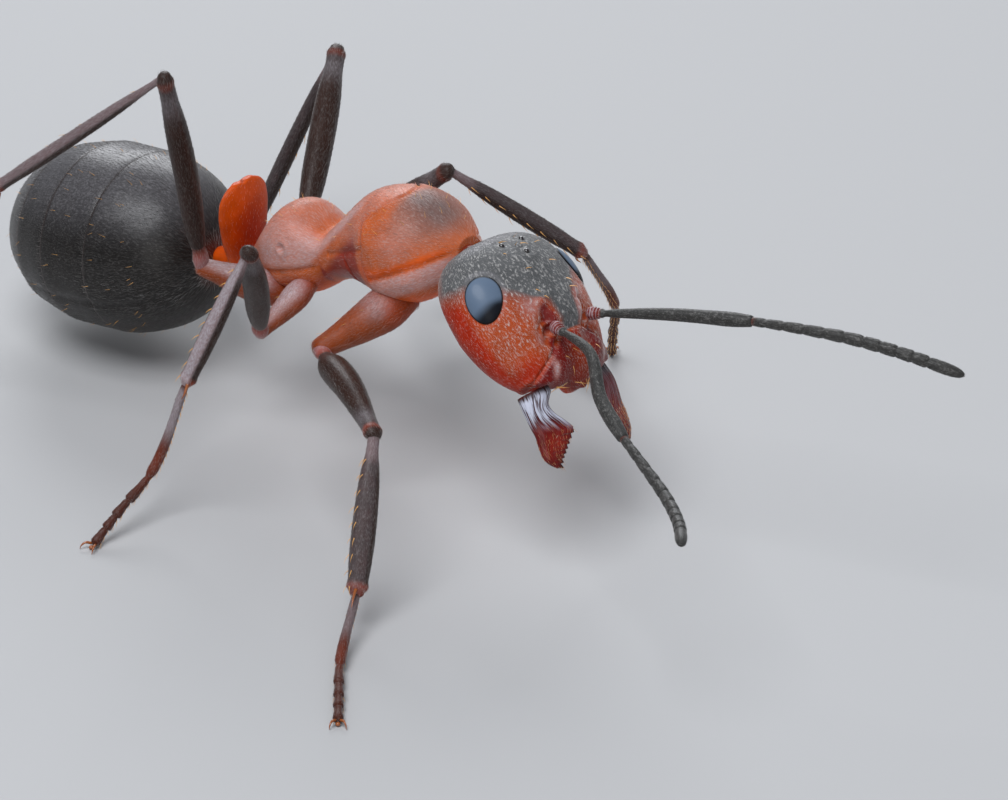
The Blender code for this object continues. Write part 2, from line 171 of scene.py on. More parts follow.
class AntColours(bpy.types.PropertyGroup):
    red: colour("Shell", "Orange-red of the cheeks and mesosoma", (0.40, 0.062, 0.013))
    # painted glow: light shining through the thin shell, over its own clearer orange
    glow: colour("Glow", "Clear orange where the shell is thin", (0.40, 0.020, 0.001))
    # also painted shade in the hollows by the sockets and on the lower flanks of the mesosoma
    deep: colour("Deep red", "Red of the face in front of the feelers", (0.17, 0.004, 0.001))
    dark: colour("Dark shell", "Grey-black of the crown", (0.098, 0.100, 0.103))
    trunk: colour("Mesosoma", "Orange-red of the mesosoma", (0.50, 0.098, 0.017))
    coxa: colour("Coxae", "Brown-orange of the coxae", (0.25, 0.042, 0.004))
    # painted sheen: the lilac-silver shine that the down gives where light catches it
    silk: colour("Silk", "Lilac-silver where the down is thickest", (0.57, 0.55, 0.60))
    gaster: colour("Gaster", "Brown-black of the gaster", (0.010, 0.008, 0.007))
    brown: colour("Legs", "Dark brown of the legs", (0.030, 0.013, 0.009))
    eye: colour("Eye", "Slate of the compound eyes", (0.11, 0.155, 0.225))
    jaw: colour("Jaw", "Dark red of the jaws", (0.15, 0.004, 0.002))
    petiole: colour("Petiole", "Clear orange of the petiole's scale", (0.62, 0.075, 0.002))
    down: colour("Down", "Silver of the lying down", (0.62, 0.60, 0.58))
    amber: colour("Bristles", "Amber of the standing bristles", (0.80, 0.42, 0.13))
    floor: colour("Floor", "Pale floor", (0.44, 0.44, 0.445))


class AntSizes(bpy.types.PropertyGroup):
    down_length: length("Down", "Length of the lying down on the head", 0.000042)
    down_width: length("Down width", "Thickness of one hair of the down", 0.0000034)
    down_gap: length("Down gap", "Distance between hairs of the down on the head", 0.000018)
    scape: length("Scape", "Radius of the thick end of a scape", 0.000071)
    whip: length("Whip", "Radius of a feeler past its elbow", 0.000062)
    femur: length("Femur", "Greatest radius of a femur", 0.00014)
    tibia: length("Tibia", "Greatest radius of a tibia", 0.000115)
    toe: length("Toes", "Radius of the tarsus", 0.000048)
    teeth: IntProperty(name="Teeth", description="Teeth of each jaw", default=8, min=4, max=10)


def paint(name):
    """A colour that the user may change."""
    return tuple(getattr(bpy.context.scene.ant_colours, name))


def sizes():
    return bpy.context.scene.ant_sizes


# ---------------------------------------------------------------- helpers for shape


def unit(vectors):
    return vectors / np.maximum(np.linalg.norm(vectors, axis=-1, keepdims=True), 1e-12)


def step(value, low, high):
    """0 below low, 1 above high, smooth between."""
    t = np.clip((value - low) / (high - low), 0.0, 1.0)
    return t * t * (3 - 2 * t)


def dome(distance, width):
    """1 at no distance, falling smoothly to nothing past the width."""
    return np.exp(-((distance / width) ** 2))


def between_caps(s, cap):
    """How far along a piece's body a place is, with a cap's share of the skin at each end."""
    return np.clip((s - cap) / (1 - 2 * cap), 0, 1)


def closing(s, cap):
    """Rounds a piece's ends off: 0 at each tip, 1 between the caps."""
    return np.sin(np.clip(np.minimum(s, 1 - s) / cap, 0, 1) * np.pi / 2)


def squared(value, power):
    """A sine or a cosine bent so that its circle squares off."""
    return np.sign(value) * np.abs(value) ** power


def direction(heading, climb):
    heading, climb = math.radians(heading), math.radians(climb)
    return np.array(
        (
            math.cos(heading) * math.cos(climb),
            math.sin(heading) * math.cos(climb),
            math.sin(climb),
        )
    )


def spline(stations, at):
    """Smooth curve through rows of (position, values), read at an array of positions."""
    table = np.array(stations, float)
    x, y = table[:, 0], table[:, 1:]
    slope = np.gradient(y, x, axis=0)
    i = np.clip(np.searchsorted(x, at) - 1, 0, len(x) - 2)
    span = (x[i + 1] - x[i])[:, None]
    t = np.clip((at - x[i]) / span[:, 0], 0, 1)[:, None]
    near = (1 + 2 * t) * (1 - t) ** 2 * y[i] + t * (1 - t) ** 2 * span * slope[i]
    far = t * t * (3 - 2 * t) * y[i + 1] + t * t * (t - 1) * span * slope[i + 1]
    return near + far


def turn(axis, degrees):
    return np.array(Matrix.Rotation(math.radians(degrees), 3, axis))


TRUNK_TURN = turn("Y", -TRUNK_PITCH)
HEAD_MATRIX = np.array(Euler([math.radians(a) for a in HEAD_TURN], "XYZ").to_matrix())
HEAD_CENTRE = FRONT_OF_TRUNK + HEAD_FROM_TRUNK


def on_trunk(back, side, up):
    return FRONT_OF_TRUNK + np.stack([-back, side, up], -1) @ TRUNK_TURN.T


def on_head(points):
    return HEAD_CENTRE + np.asarray(points) @ HEAD_MATRIX.T


def in_head(points):
    """Places in the head's own frame: ahead of its middle, to its left, up."""
    return (points - HEAD_CENTRE) @ HEAD_MATRIX


def mirrored(point, side):
    return np.asarray(point) * (1, 1 if side == "l" else -1, 1)


# ---------------------------------------------------------------- helpers for pieces


def sheet(along, around, skin):
    """Closed bmesh: a grid rolled up by a skin, its seam and poles welded."""
    bm = bmesh.new()
    bmesh.ops.create_grid(bm, x_segments=along, y_segments=around, size=0.5)
    flat = np.array([v.co for v in bm.verts]) + 0.5
    layer = bm.loops.layers.uv.new("UVMap")
    for face in bm.faces:
        for corner in face.loops:
            corner[layer].uv = (corner.vert.co.x + 0.5, corner.vert.co.y + 0.5)
    for vertex, point in zip(bm.verts, skin(flat[:, 0], flat[:, 1] * TAU)):
        vertex.co = point
    bmesh.ops.remove_doubles(bm, verts=bm.verts[:], dist=WELD)
    return bm


def joined(*parts):
    """One bmesh from several."""
    whole = bmesh.new()
    for part in parts:
        spare = bpy.data.meshes.new("spare")
        part.to_mesh(spare)
        part.free()
        whole.from_mesh(spare)
        bpy.data.meshes.remove(spare)
    return whole


def put(name, data):
    """An object of the scene at the origin, holding the data."""
    made = bpy.data.objects.new(name, data)
    bpy.context.scene.collection.objects.link(made)
    return made


def finished(name, bm, material, slot, nodes=(), marks=None):
    """Puts a piece in the scene from a bmesh in millimetres, riding on the model's one body."""
    bmesh.ops.recalc_face_normals(bm, faces=bm.faces[:])
    mesh = bpy.data.meshes.new(name)
    bm.to_mesh(mesh)
    bm.free()
    if marks:
        points = np.empty(len(mesh.vertices) * 3)
        mesh.vertices.foreach_get("co", points)
        add_marks(mesh, marks(points.reshape(-1, 3)))
    mesh.transform(Matrix.Scale(MM, 4))
    mesh.shade_smooth()
    mesh.materials.append(material)
    piece = put(name, mesh)
    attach(piece, "root")
    if nodes:
        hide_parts(*nodes)


def add_marks(mesh, marks):
    """Markings as point attributes that the materials read."""
    for name, values in marks.items():
        layer = mesh.attributes.new(name, "FLOAT", "POINT")
        layer.data.foreach_set("value", np.asarray(values, np.float32))


def limb_skin(path, radii, reference=(0.0, 0.0, 1.0), cap=0.04, flat=1.0):
    """Skin along a smooth path; radii are (share of the length, radius); ends are domed."""
    path = np.array(path, float)
    marks = np.concatenate([[0], np.cumsum(np.linalg.norm(np.diff(path, axis=0), axis=1))])
    track = np.column_stack([marks / marks[-1], path])
    look = 0.01  # share of the length that the way ahead is read over, to either side

    def skin(s, a):
        body = between_caps(s, cap)
        centre = spline(track, body)
        ahead = spline(track, np.minimum(body + look, 1)) - spline(track, np.maximum(body - look, 0))
        ahead = unit(ahead)
        across = unit(np.cross(ahead, reference))
        up = np.cross(across, ahead)
        wide = spline(radii, body)[:, 0]
        near = np.clip(s / cap, 0, 1) * np.pi / 2
        far = np.clip((1 - s) / cap, 0, 1) * np.pi / 2
        centre = centre + ahead * (wide * 0.7 * (np.cos(far) - np.cos(near)))[:, None]
        wide = (wide * np.sin(near) * np.sin(far))[:, None]
        return centre + wide * (-np.cos(a)[:, None] * up + flat * np.sin(a)[:, None] * across)

    return skin


def widened(widths, radius):
    """Stations of a limb from shares of its greatest radius."""
    return [(at, width * radius) for at, width in widths]


def ball(centre, radius, scale=(1, 1, 1), detail=16):
    bm = bmesh.new()
    bmesh.ops.create_uvsphere(bm, u_segments=detail, v_segments=detail // 2 + 2, radius=radius)
    bmesh.ops.scale(bm, vec=scale, verts=bm.verts[:])
    bmesh.ops.translate(bm, vec=Vector(centre), verts=bm.verts[:])
    return bm


# ---------------------------------------------------------------- hair


def slopes(skin, s, a):
    """Points of a skin, a vector along the normal at each, and the way the skin runs."""
    e = 2e-3
    here = skin(s, a)
    run = skin(np.minimum(s + e, 1), a) - skin(np.maximum(s - e, 0), a)
    turned = skin(s, a + e) - skin(s, a - e)
    return here, np.cross(run, turned), run


def outward(skin):
    """1 if the vectors that slopes gives for a skin point out of it, -1 if they point in."""
    s, a = np.meshgrid(np.linspace(0.1, 0.9, 9), np.arange(12) * TAU / 12)
    here, area, _ = slopes(skin, s.ravel(), a.ravel())
    return np.sign(((here - here.mean(0)) * unit(area)).sum())


CELLS = 120  # each way, of the grid by whose areas the roots are drawn
SPARE_ROOTS = 1.9  # drawn for each cell of space, of which one is kept
CELL_HASH = np.array((73856093, 19349663, 83492791))  # primes that number the cells of space


def roots(skin, gap, seed, keep=None):
    """Evenly scattered places (s, a) on a skin, about one gap apart."""
    rng = np.random.default_rng(seed)
    s, a = np.meshgrid((np.arange(CELLS) + 0.5) / CELLS, (np.arange(CELLS) + 0.5) / CELLS * TAU)
    s, a = s.ravel(), a.ravel()
    edge = 1.0 / CELLS
    run = skin(np.minimum(s + edge / 2, 1), a) - skin(np.maximum(s - edge / 2, 0), a)
    turned = skin(s, a + edge * TAU / 2) - skin(s, a - edge * TAU / 2)
    area = np.linalg.norm(np.cross(run, turned), axis=1)
    count = int(area.sum() / gap**2 * SPARE_ROOTS)
    pick = rng.choice(len(s), count, p=area / area.sum())
    s = np.clip(s[pick] + (rng.random(count) - 0.5) * edge, 0, 1)
    a = a[pick] + (rng.random(count) - 0.5) * edge * TAU
    points = skin(s, a)
    cell = np.floor(points / gap).astype(np.int64)
    _, first = np.unique(cell @ CELL_HASH, return_index=True)
    s, a, points = s[first], a[first], points[first]
    if keep is not None:
        chosen = rng.random(len(s)) < keep(s, a, points)
        s, a = s[chosen], a[chosen]
    return s, a


def hair_mesh(name, count, bends):
    """Copies of one three-sided spike with that many bends, from an array, and its own points."""
    bm = bmesh.new()
    bmesh.ops.create_cone(
        bm, cap_ends=True, segments=3, radius1=1.0, radius2=0.0, depth=1.0,
        matrix=Matrix.Translation((0, 0, 0.5)),
    )
    for i in range(bends):
        bmesh.ops.bisect_plane(
            bm, geom=bm.verts[:] + bm.edges[:] + bm.faces[:], dist=1e-6,
            plane_co=(0, 0, (i + 1) / (bends + 1)), plane_no=(0, 0, 1),
        )
    one = bpy.data.meshes.new(name)
    bm.to_mesh(one)
    bm.free()
    local = np.array([v.co for v in one.vertices])
    holder = put(name, one)
    array = holder.modifiers.new("copies", "ARRAY")
    array.count = count
    array.use_relative_offset = False
    array.use_merge_vertices = False
    graph = bpy.context.evaluated_depsgraph_get()
    mesh = bpy.data.meshes.new_from_object(holder.evaluated_get(graph))
    bpy.data.objects.remove(holder)
    bpy.data.meshes.remove(one)
    mesh.name = name
    return mesh, local


ROOT_DEPTH = 0.002  # of a hair's root below the skin
STRAY = 0.22  # spread of the hairs' headings, in radians
CURL = 0.9  # how far a hair bends back to the skin: 1 is level at its tip
LOWEST = 0.001  # height over the floor below which no hair goes
TUFT = 0.0015  # half the width of a hair's place on the map that is baked


def coat(name, patches, material, seed, bends=0):
    """Puts a piece of hair in the scene from patches of it, as patch describes them."""
    rng = np.random.default_rng(seed)
    tiles = math.ceil(math.sqrt(len(patches)))
    rows = {key: [] for key in ("root", "normal", "comb", "length", "width", "lift", "place")}
    marks = {key: [] for key in ("dark", "glow", "deep")}
    for number, growth in enumerate(patches):
        s, a = growth["roots"]
        here, area, run = slopes(growth["skin"], s, a)
        normal = unit(area) * outward(growth["skin"])
        comb = growth["comb"](here) if growth.get("comb") else run
        comb = unit(comb - normal * (comb * normal).sum(1)[:, None])
        stray = rng.normal(0, growth.get("stray", STRAY), len(s))[:, None]
        grown = {
            "root": here - normal * ROOT_DEPTH,
            "normal": normal,
            "comb": comb * np.cos(stray) + np.cross(normal, comb) * np.sin(stray),
            "length": growth["length"] * rng.uniform(0.75, 1.2, len(s)),
            "width": np.full(len(s), growth["width"]),
            "lift": growth["lift"] * rng.uniform(0.6, 1.4, len(s)),
            "place": np.stack([number % tiles + s, number // tiles + (a / TAU) % 1.0], -1) / tiles,
        }
        for key, values in grown.items():
            rows[key].append(values)
        below = growth["marks"](here)
        for key, values in marks.items():
            values.append(below[key])
    rows = {key: np.concatenate(values) for key, values in rows.items()}
    mesh, local = hair_mesh(name, len(rows["root"]), bends)
    along = local[:, 2]
    side = np.cross(rows["normal"], rows["comb"])
    lift = rows["lift"][:, None, None]
    ahead = along[None, :, None] * np.cos(lift)
    above = np.sin(lift) * (along - CURL * along**2 / 2)[None, :, None]
    width = rows["width"][:, None, None] / 2
    points = (
        rows["root"][:, None]
        + rows["length"][:, None, None] * (ahead * rows["comb"][:, None] + above * rows["normal"][:, None])
        + width * local[None, :, :1] * side[:, None]
        + width * local[None, :, 1:2] * rows["normal"][:, None]
    )
    points[..., 2] = np.maximum(points[..., 2], LOWEST)
    mesh.vertices.foreach_set("co", points.astype(np.float32).ravel())
    add_marks(mesh, {key: np.repeat(np.concatenate(values), len(local)) for key, values in marks.items()})
    owner = np.empty(len(mesh.loops), np.int32)
    mesh.loops.foreach_get("vertex_index", owner)
    spread = local[:, :2] * (1 - local[:, 2:]) + np.stack([along, along * 0], -1)
    uv = rows["place"][owner // len(local)] + TUFT * spread[owner % len(local)]
    mesh.uv_layers.new(name="OFBake").data.foreach_set("uv", uv.astype(np.float32).ravel())
    mesh.update()
    mesh.transform(Matrix.Scale(MM, 4))
    mesh.materials.append(material)
    piece = put(name, mesh)
    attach(piece, "root")


# ---------------------------------------------------------------- shader groups


def group(name, inputs, outputs):
    """A new node group with its sockets, and its input and output nodes."""
    made = bpy.data.node_groups.new(name, "ShaderNodeTree")
    for socket, kind, default in inputs:
        item = made.interface.new_socket(socket, in_out="INPUT", socket_type="NodeSocket" + kind)
        if default is not None:
            item.default_value = default
    for socket, kind in outputs:
        made.interface.new_socket(socket, in_out="OUTPUT", socket_type="NodeSocket" + kind)
    return made, made.nodes.new("NodeGroupInput"), made.nodes.new("NodeGroupOutput")


def feed(tree, made, values):
    """Sets a node's inputs, by a link where the value is another node's socket."""
    for key, value in values.items():
        if isinstance(value, bpy.types.NodeSocket):
            tree.links.new(value, made.inputs[key])
        else:
            made.inputs[key].default_value = value


def node(tree, kind, values=None, **settings):
    made = tree.nodes.new("ShaderNode" + kind)
    for key, value in settings.items():
        setattr(made, key, value)
    feed(tree, made, values or {})
    return made


def mask(tree, name):
    """One of the markings of the piece that the material is on."""
    return node(tree, "Attribute", attribute_name=name).outputs["Fac"]


def ranged(tree, value, low, high, to_low=0.0, to_high=1.0):
    return node(tree, "MapRange", {0: value, 1: low, 2: high, 3: to_low, 4: to_high}).outputs[0]


def placed(tree, name, make, values):
    """A shared effect in a material, made once."""
    made = node(tree, "Group", node_tree=bpy.data.node_groups.get(name) or make(name))
    feed(tree, made, values)
    return made


def maths(tree, operation, a, b, clamp=False):
    return node(tree, "Math", {0: a, 1: b}, operation=operation, use_clamp=clamp).outputs[0]


def blend(tree, factor, a, b, kind="MIX"):
    made = node(tree, "Mix", data_type="RGBA", blend_type=kind)
    a, b = (end if isinstance(end, bpy.types.NodeSocket) else (*end, 1.0) for end in (a, b))
    feed(tree, made, {0: factor, 6: a, 7: b})
    return made.outputs[2]


def fine_down(name):
    """Fine lying down: streaks along U of the skin's own map."""
    made, given, out = group(
        name,
        [("Vector", "Vector", None), ("Length", "Float", 10.0), ("Width", "Float", 50.0)],
        [("Height", "Float"), ("Silver", "Float")],
    )
    lanes = node(made, "CombineXYZ", {0: given.outputs["Length"], 1: given.outputs["Width"], 2: 1.0})
    place = {0: given.outputs["Vector"], 1: lanes.outputs[0]}
    scaled = node(made, "VectorMath", place, operation="MULTIPLY").outputs[0]
    warp = node(made, "TexNoise", {"Vector": scaled, "Scale": 0.35, "Detail": 1.0})
    pushed = node(
        made, "VectorMath", {0: warp.outputs["Color"], 1: (1.2, 1.2, 1.2), 2: scaled},
        operation="MULTIPLY_ADD",
    )
    fine = node(
        made, "TexNoise", {"Vector": pushed.outputs[0], "Scale": 1.0, "Detail": 2.0, "Roughness": 0.6}
    )
    height = maths(made, "SUBTRACT", fine.outputs[0], 0.32)
    height = maths(made, "MULTIPLY", height, 2.6, clamp=True)
    feed(made, out, {"Height": height, "Silver": ranged(made, fine.outputs[0], 0.52, 0.70)})
    return made


INKS = ("Red", "Glow", "Deep", "Dark")  # colours of a shell; all but the first lie on by masks


def shell_markings(name):
    """Colour of the shell from its masks, clouded a little."""
    made, given, out = group(
        name,
        [
            ("Vector", "Vector", None),
            *((ink, "Color", None) for ink in INKS),
            *((ink + " mask", "Float", 0.0) for ink in INKS[1:]),
        ],
        [("Color", "Color"), ("Dark", "Float")],
    )
    cloud = node(made, "TexNoise", {"Vector": given.outputs["Vector"], "Scale": 5.0, "Detail": 3.0})
    drift = maths(made, "SUBTRACT", cloud.outputs[0], 0.5)
    mixed = given.outputs["Red"]
    for ink, sway in zip(INKS[1:], (0.5, 0.3, 0.45)):
        plain = given.outputs[ink + " mask"]
        share = maths(made, "ADD", plain, maths(made, "MULTIPLY", drift, sway))
        share = maths(made, "MULTIPLY", share, plain)
        share = maths(made, "MINIMUM", maths(made, "MULTIPLY", share, 1.15), 1.0)
        mixed = blend(made, share, mixed, given.outputs[ink])
    shade = ranged(made, cloud.outputs[0], 0.3, 0.7, 0.82, 1.12)
    feed(made, out, {"Color": blend(made, 1.0, mixed, shade, "MULTIPLY"), "Dark": share})
    return made


def shell_grain(name):
    """Net-like fine sculpture of the shell."""
    made, given, out = group(
        name, [("Vector", "Vector", None), ("Scale", "Float", 60.0)], [("Height", "Float")]
    )
    cells = node(
        made, "TexVoronoi", {"Vector": given.outputs["Vector"], "Scale": given.outputs["Scale"]},
        feature="DISTANCE_TO_EDGE",
    )
    feed(made, out, {"Height": maths(made, "MULTIPLY", cells.outputs[0], 3.0, clamp=True)})
    return made


def in_millimetres(tree):
    where = node(tree, "TexCoord").outputs["Object"]
    return node(tree, "Mapping", {"Vector": where, "Scale": (1000, 1000, 1000)}).outputs[0]


def marked_colour(tree, palette):
    """Colour from a shell's masks and palette, and the place that it is read at."""
    place = in_millimetres(tree)
    values = {"Vector": place}
    values.update((ink, (*palette[ink.lower()], 1.0)) for ink in INKS)
    values.update((ink + " mask", mask(tree, ink.lower())) for ink in INKS[1:])
    return placed(tree, "Shell markings", shell_markings, values), place


def blank(name):
    """A new material, its node tree and its shader."""
    made = bpy.data.materials.new(name)
    made.use_nodes = True
    return made, made.node_tree, made.node_tree.nodes["Principled BSDF"]


GRAIN_SCALE = 70.0


def shell_material(name, palette, silver, lanes, relief, sheen, varnish, roughness=0.4, rough_dark=0.46,
                   specular=0.25, sheen_share=0.7):
    """Satin shell with markings, fine sculpture, streaks of lying down and a painted sheen of the down."""
    made, tree, shader = blank(name)
    markings, place = marked_colour(tree, palette)
    lie = node(tree, "UVMap", uv_map="UVMap").outputs[0]
    down = placed(tree, "Fine down", fine_down, {"Vector": lie, "Length": lanes[0], "Width": lanes[1]})
    net = placed(tree, "Shell grain", shell_grain, {"Vector": place, "Scale": GRAIN_SCALE})
    bare = maths(tree, "MAXIMUM", mask(tree, "glow"), mask(tree, "deep"))
    clothed = maths(tree, "SUBTRACT", 1.0, maths(tree, "MULTIPLY", bare, 0.8))
    streaks = maths(tree, "MULTIPLY", down.outputs["Silver"], silver)
    streaks = maths(tree, "MULTIPLY", streaks, clothed)
    base = blend(tree, streaks, markings.outputs["Color"], paint("down"))
    # painted sheen: where its mask lies, the lilac-silver shine of the down is mixed into the colour along
    # the streaks
    brushed = ranged(tree, down.outputs["Height"], 0.1, 0.9, 0.55 * sheen_share, sheen_share)
    base = blend(tree, maths(tree, "MULTIPLY", mask(tree, "silk"), brushed), base, paint("silk"))
    rough = ranged(tree, markings.outputs["Dark"], 0.0, 1.0, roughness, rough_dark)
    gloss = mask(tree, "gloss")
    height = maths(tree, "MULTIPLY", net.outputs["Height"], 0.35)
    height = maths(tree, "ADD", down.outputs["Height"], height)
    bump = node(tree, "Bump", {"Height": height, "Strength": 1.0, "Distance": relief})
    feed(tree, shader, {
        "Base Color": base,
        "Roughness": maths(tree, "SUBTRACT", rough, maths(tree, "MULTIPLY", gloss, 0.22)),
        "Specular IOR Level": specular,
        "Coat Weight": maths(tree, "ADD", maths(tree, "MULTIPLY", gloss, 0.7), varnish),
        "Coat Roughness": 0.22,
        "Sheen Weight": sheen,
        "Sheen Roughness": 0.4,
        "Sheen Tint": (0.95, 0.93, 0.9, 1.0),
        "Normal": bump.outputs[0],
    })
    return made


def hair_material(name, tint, share, palette, roughness=0.35, on_dark=0.48):
    """Hair that takes a share of the markings under it, and more of them on dark ground."""
    made, tree, shader = blank(name)
    markings, _ = marked_colour(tree, palette)
    share = maths(
        tree, "ADD", maths(tree, "MULTIPLY", markings.outputs["Dark"], on_dark), share, clamp=True
    )
    feed(tree, shader, {
        "Base Color": blend(tree, share, tint, markings.outputs["Color"]),
        "Roughness": roughness,
        "Specular IOR Level": 0.4,
    })
    return made


def plain_material(name, base, roughness, varnish=0.0):
    made, tree, shader = blank(name)
    feed(tree, shader, {"Base Color": (*base, 1.0), "Roughness": roughness, "Coat Weight": varnish})
    return made


def shell_palette(**changed):
    """The colours of the shell by ink, some of them changed."""
    return {**{ink.lower(): paint(ink.lower()) for ink in INKS}, **changed}


def trunk_palette():
    # the glow colour paints light through the thin shell; the deep red paints shade on the lower flanks,
    # besides marking the seams
    return shell_palette(red=paint("trunk"), glow=(0.66, 0.090, 0.003), deep=(0.26, 0.016, 0.002))


def coxa_palette():
    return shell_palette(red=paint("coxa"))


def gaster_palette():
    return shell_palette(red=paint("brown"), dark=paint("gaster"))


def leg_palette():
    return shell_palette(red=(0.20, 0.030, 0.010), dark=paint("brown"))


def feeler_palette():
    return {**leg_palette(), "dark": (0.034, 0.033, 0.031)}


# ---------------------------------------------------------------- head


def squareness(up):
    """Powers that square the head off, sideways and upwards."""
    return (np.where(up > 0, *pair) for pair in zip(CROWN_SQUARENESS, THROAT_SQUARENESS))


def head_form(x, side, up):
    """Plain form of the head: x from -1 at the back to 1 in front, side and up round it."""
    long = np.where(x < 0, HEAD_BACK, HEAD_FRONT)
    square = np.where(x < 0, *HEAD_BLUNTNESS)
    reach = (1 - np.abs(x) ** square) ** (1 / square)
    front = np.maximum(0, x)
    width = HEAD_HALF_WIDTH * (1 - CHEEK_TAPER * front**1.5) * reach
    arch = np.where(x < 0, *CROWN_BLUNTNESS)
    crown = HEAD_CROWN * (1 - np.abs(x) ** arch) ** (1 / arch) - FACE_DIP * front**2
    throat = HEAD_THROAT * (1 - THROAT_TAPER * front) * reach
    sideways, upright = squareness(up)
    up = squared(up, upright)
    height = np.where(up > 0, crown, throat)
    lift = MOUTH_RISE * front**3
    return np.stack([x * long, squared(side, sideways) * width, up * height + lift], -1)


def inside_head(points):
    """Places of the plain form: below 1 inside it, above 1 outside."""
    x = points[:, 0] / np.where(points[:, 0] < 0, HEAD_BACK, HEAD_FRONT)
    full = head_form(x, np.ones(len(x)), np.zeros(len(x)))
    crown, throat = (head_form(x, np.zeros(len(x)), np.full(len(x), way))[:, 2] for way in (1.0, -1.0))
    lift = full[:, 2]
    up = points[:, 2] - lift
    height = np.where(up > 0, crown - lift, lift - throat)
    sideways, upright = squareness(up)
    return (np.abs(points[:, 1]) / full[:, 1]) ** (2 / sideways) + (np.abs(up) / height) ** (2 / upright)


def near_segment(x, y, start, end):
    """Distance from points to a segment in the plane of the face."""
    start, end = np.array(start), np.array(end)
    along = end - start
    t = np.clip(((x - start[0]) * along[0] + (y - start[1]) * along[1]) / (along @ along), 0, 1)
    return np.hypot(x - start[0] - t * along[0], y - start[1] - t * along[1])


EYE_FRAME = turn("X", EYE_LEAN) @ turn("Y", EYE_TWIST)


def eye_local(points):
    """Places from the middle of the nearer eye, in its half sizes: along, out of and across it."""
    away = points * (1, 0, 1) + np.abs(points) * (0, 1, 0) - EYE_AT
    return (away @ EYE_FRAME) / EYE_SIZE


def eye_reach(points):
    """How far out from the middle of the nearer eye, 1 at its rim."""
    along, outer, across = eye_local(points).T
    return np.hypot(along, across / (1 - EYE_TAPER * along)) + 9.0 * (outer < -4.0)


def clypeus_back(y):
    """Where the clypeus begins, ahead of the head's middle."""
    return 0.40 + 0.75 * np.maximum(0, np.abs(y) - 0.17)


def head_relief(base):
    """Height of the head's sculpture over its plain form."""
    x, y, z = base.T
    flank = np.abs(y)
    face = step(z, 0.0, 0.14)
    below = step(-z, 0.02, 0.15)
    eye = eye_reach(base)
    # the crown's swelling, the raised middle of the face, and a dent round each ocellus
    rise = 0.045 * dome(np.hypot(x + 0.45, y * 0.8), 0.30) * face
    rise += 0.032 * step(0.30 - flank, -0.08, 0.05) * step(x, -0.30, 0.05) * step(0.36 - x, 0, 0.12) * face
    for at in OCELLI:
        rise += -0.010 * dome(np.hypot(x - at[0], y - at[1]) - 0.048, 0.014) * face
    # the feelers' sockets with their rims, and the hollow that runs forward from each
    socket = np.hypot(x - SOCKET_AT[0], flank - SOCKET_AT[1])
    rise += face * (-0.080 * dome(socket, 0.135) + 0.045 * dome(socket - 0.085, 0.022))
    rise += -0.045 * face * dome(near_segment(x, flank, (0.13, 0.275), (0.40, 0.36)), 0.055)
    # the ridges inside the sockets, the swelling between them, and the frontal triangle
    rise += face * 0.034 * dome(near_segment(x, flank, (0.02, 0.285), (0.32, 0.165)), 0.036)
    rise += face * 0.020 * dome(near_segment(x, flank, (0.08, 0.0), (0.24, 0.0)), 0.16)
    triangle = step(x, 0.21, 0.24) * step(0.40 - x, 0, 0.02) * step((x - 0.19) * 0.75 - flank, -0.01, 0.02)
    rise += -0.022 * triangle * face
    # the groove down the middle of the face
    rise += -0.007 * dome(y, 0.010) * step(x, -0.40, -0.25) * step(0.25 - x, 0, 0.1) * face
    # the clypeus with its keel, and the groove behind it
    back = x - clypeus_back(y)
    clypeus = step(back, -0.015, 0.03) * face
    rise += clypeus * (0.030 + 0.022 * dome(y, 0.035) - 0.018 * dome(flank - 0.17, 0.09))
    rise += -0.026 * dome(back + 0.01, 0.020) * face * step(x, 0.38, 0.42)
    # the jaws' sockets with their rims
    mouth = np.linalg.norm(np.stack([x - 0.84, flank - 0.52, z - 0.04], -1), axis=1)
    rise += -0.075 * dome(mouth, 0.13) + 0.022 * dome(mouth - 0.19, 0.04)
    # the throat's seam, and the hollow that the mouthparts lie in
    rise += -0.012 * dome(y, 0.014) * below * step(0.45 - x, 0, 0.1)
    rise += -0.13 * below * step(x, 0.50, 0.72) * step(0.36 - flank, 0, 0.1)
    # smooth round the eye, with a groove at its rim and a bed under it
    rise *= step(eye, 1.02, 1.30)
    return rise - 0.012 * dome(eye - 1.03, 0.05) - 0.015 * step(1.0 - eye, 0.0, 0.1)


def head_local(s, a):
    """The head's skin in its own frame, its front margin drawn back and up beside the middle."""
    x = -np.cos(np.pi * np.clip(s, 1e-4, 1 - 1e-4))
    base = head_form(x, np.sin(a), -np.cos(a))
    lean = unit(base / np.array((0.9, 0.8, 0.5)) ** 2)
    ends = step(1 - np.abs(x), 0.0, 0.02)
    skin = base + lean * (head_relief(base) * ends)[:, None]
    flank = np.abs(skin[:, 1])
    skin[:, 0] -= 0.085 * step(x, 0.66, 0.95) * step(0.56 - flank, 0.0, 0.16) * step(flank, 0.02, 0.16)
    skin[:, 2] += 0.040 * step(x, 0.60, 0.95) * step(0.56 - flank, 0.0, 0.2) * step(flank, 0.0, 0.1)
    return skin


def head_skin(s, a):
    return on_head(head_local(s, a))


CAP_EDGE = (  # of the dark cap on the face: side, how far forward
    (0, 0.42), (0.13, 0.38), (0.18, 0.30), (0.30, 0.02), (0.50, -0.08), (0.66, -0.22), (0.8, -0.35),
)
CAP_LEVEL = ((-0.9, -0.34), (-0.5, -0.30), (-0.3, 0.02), (0.0, 0.26))  # its lower edge: ahead, up


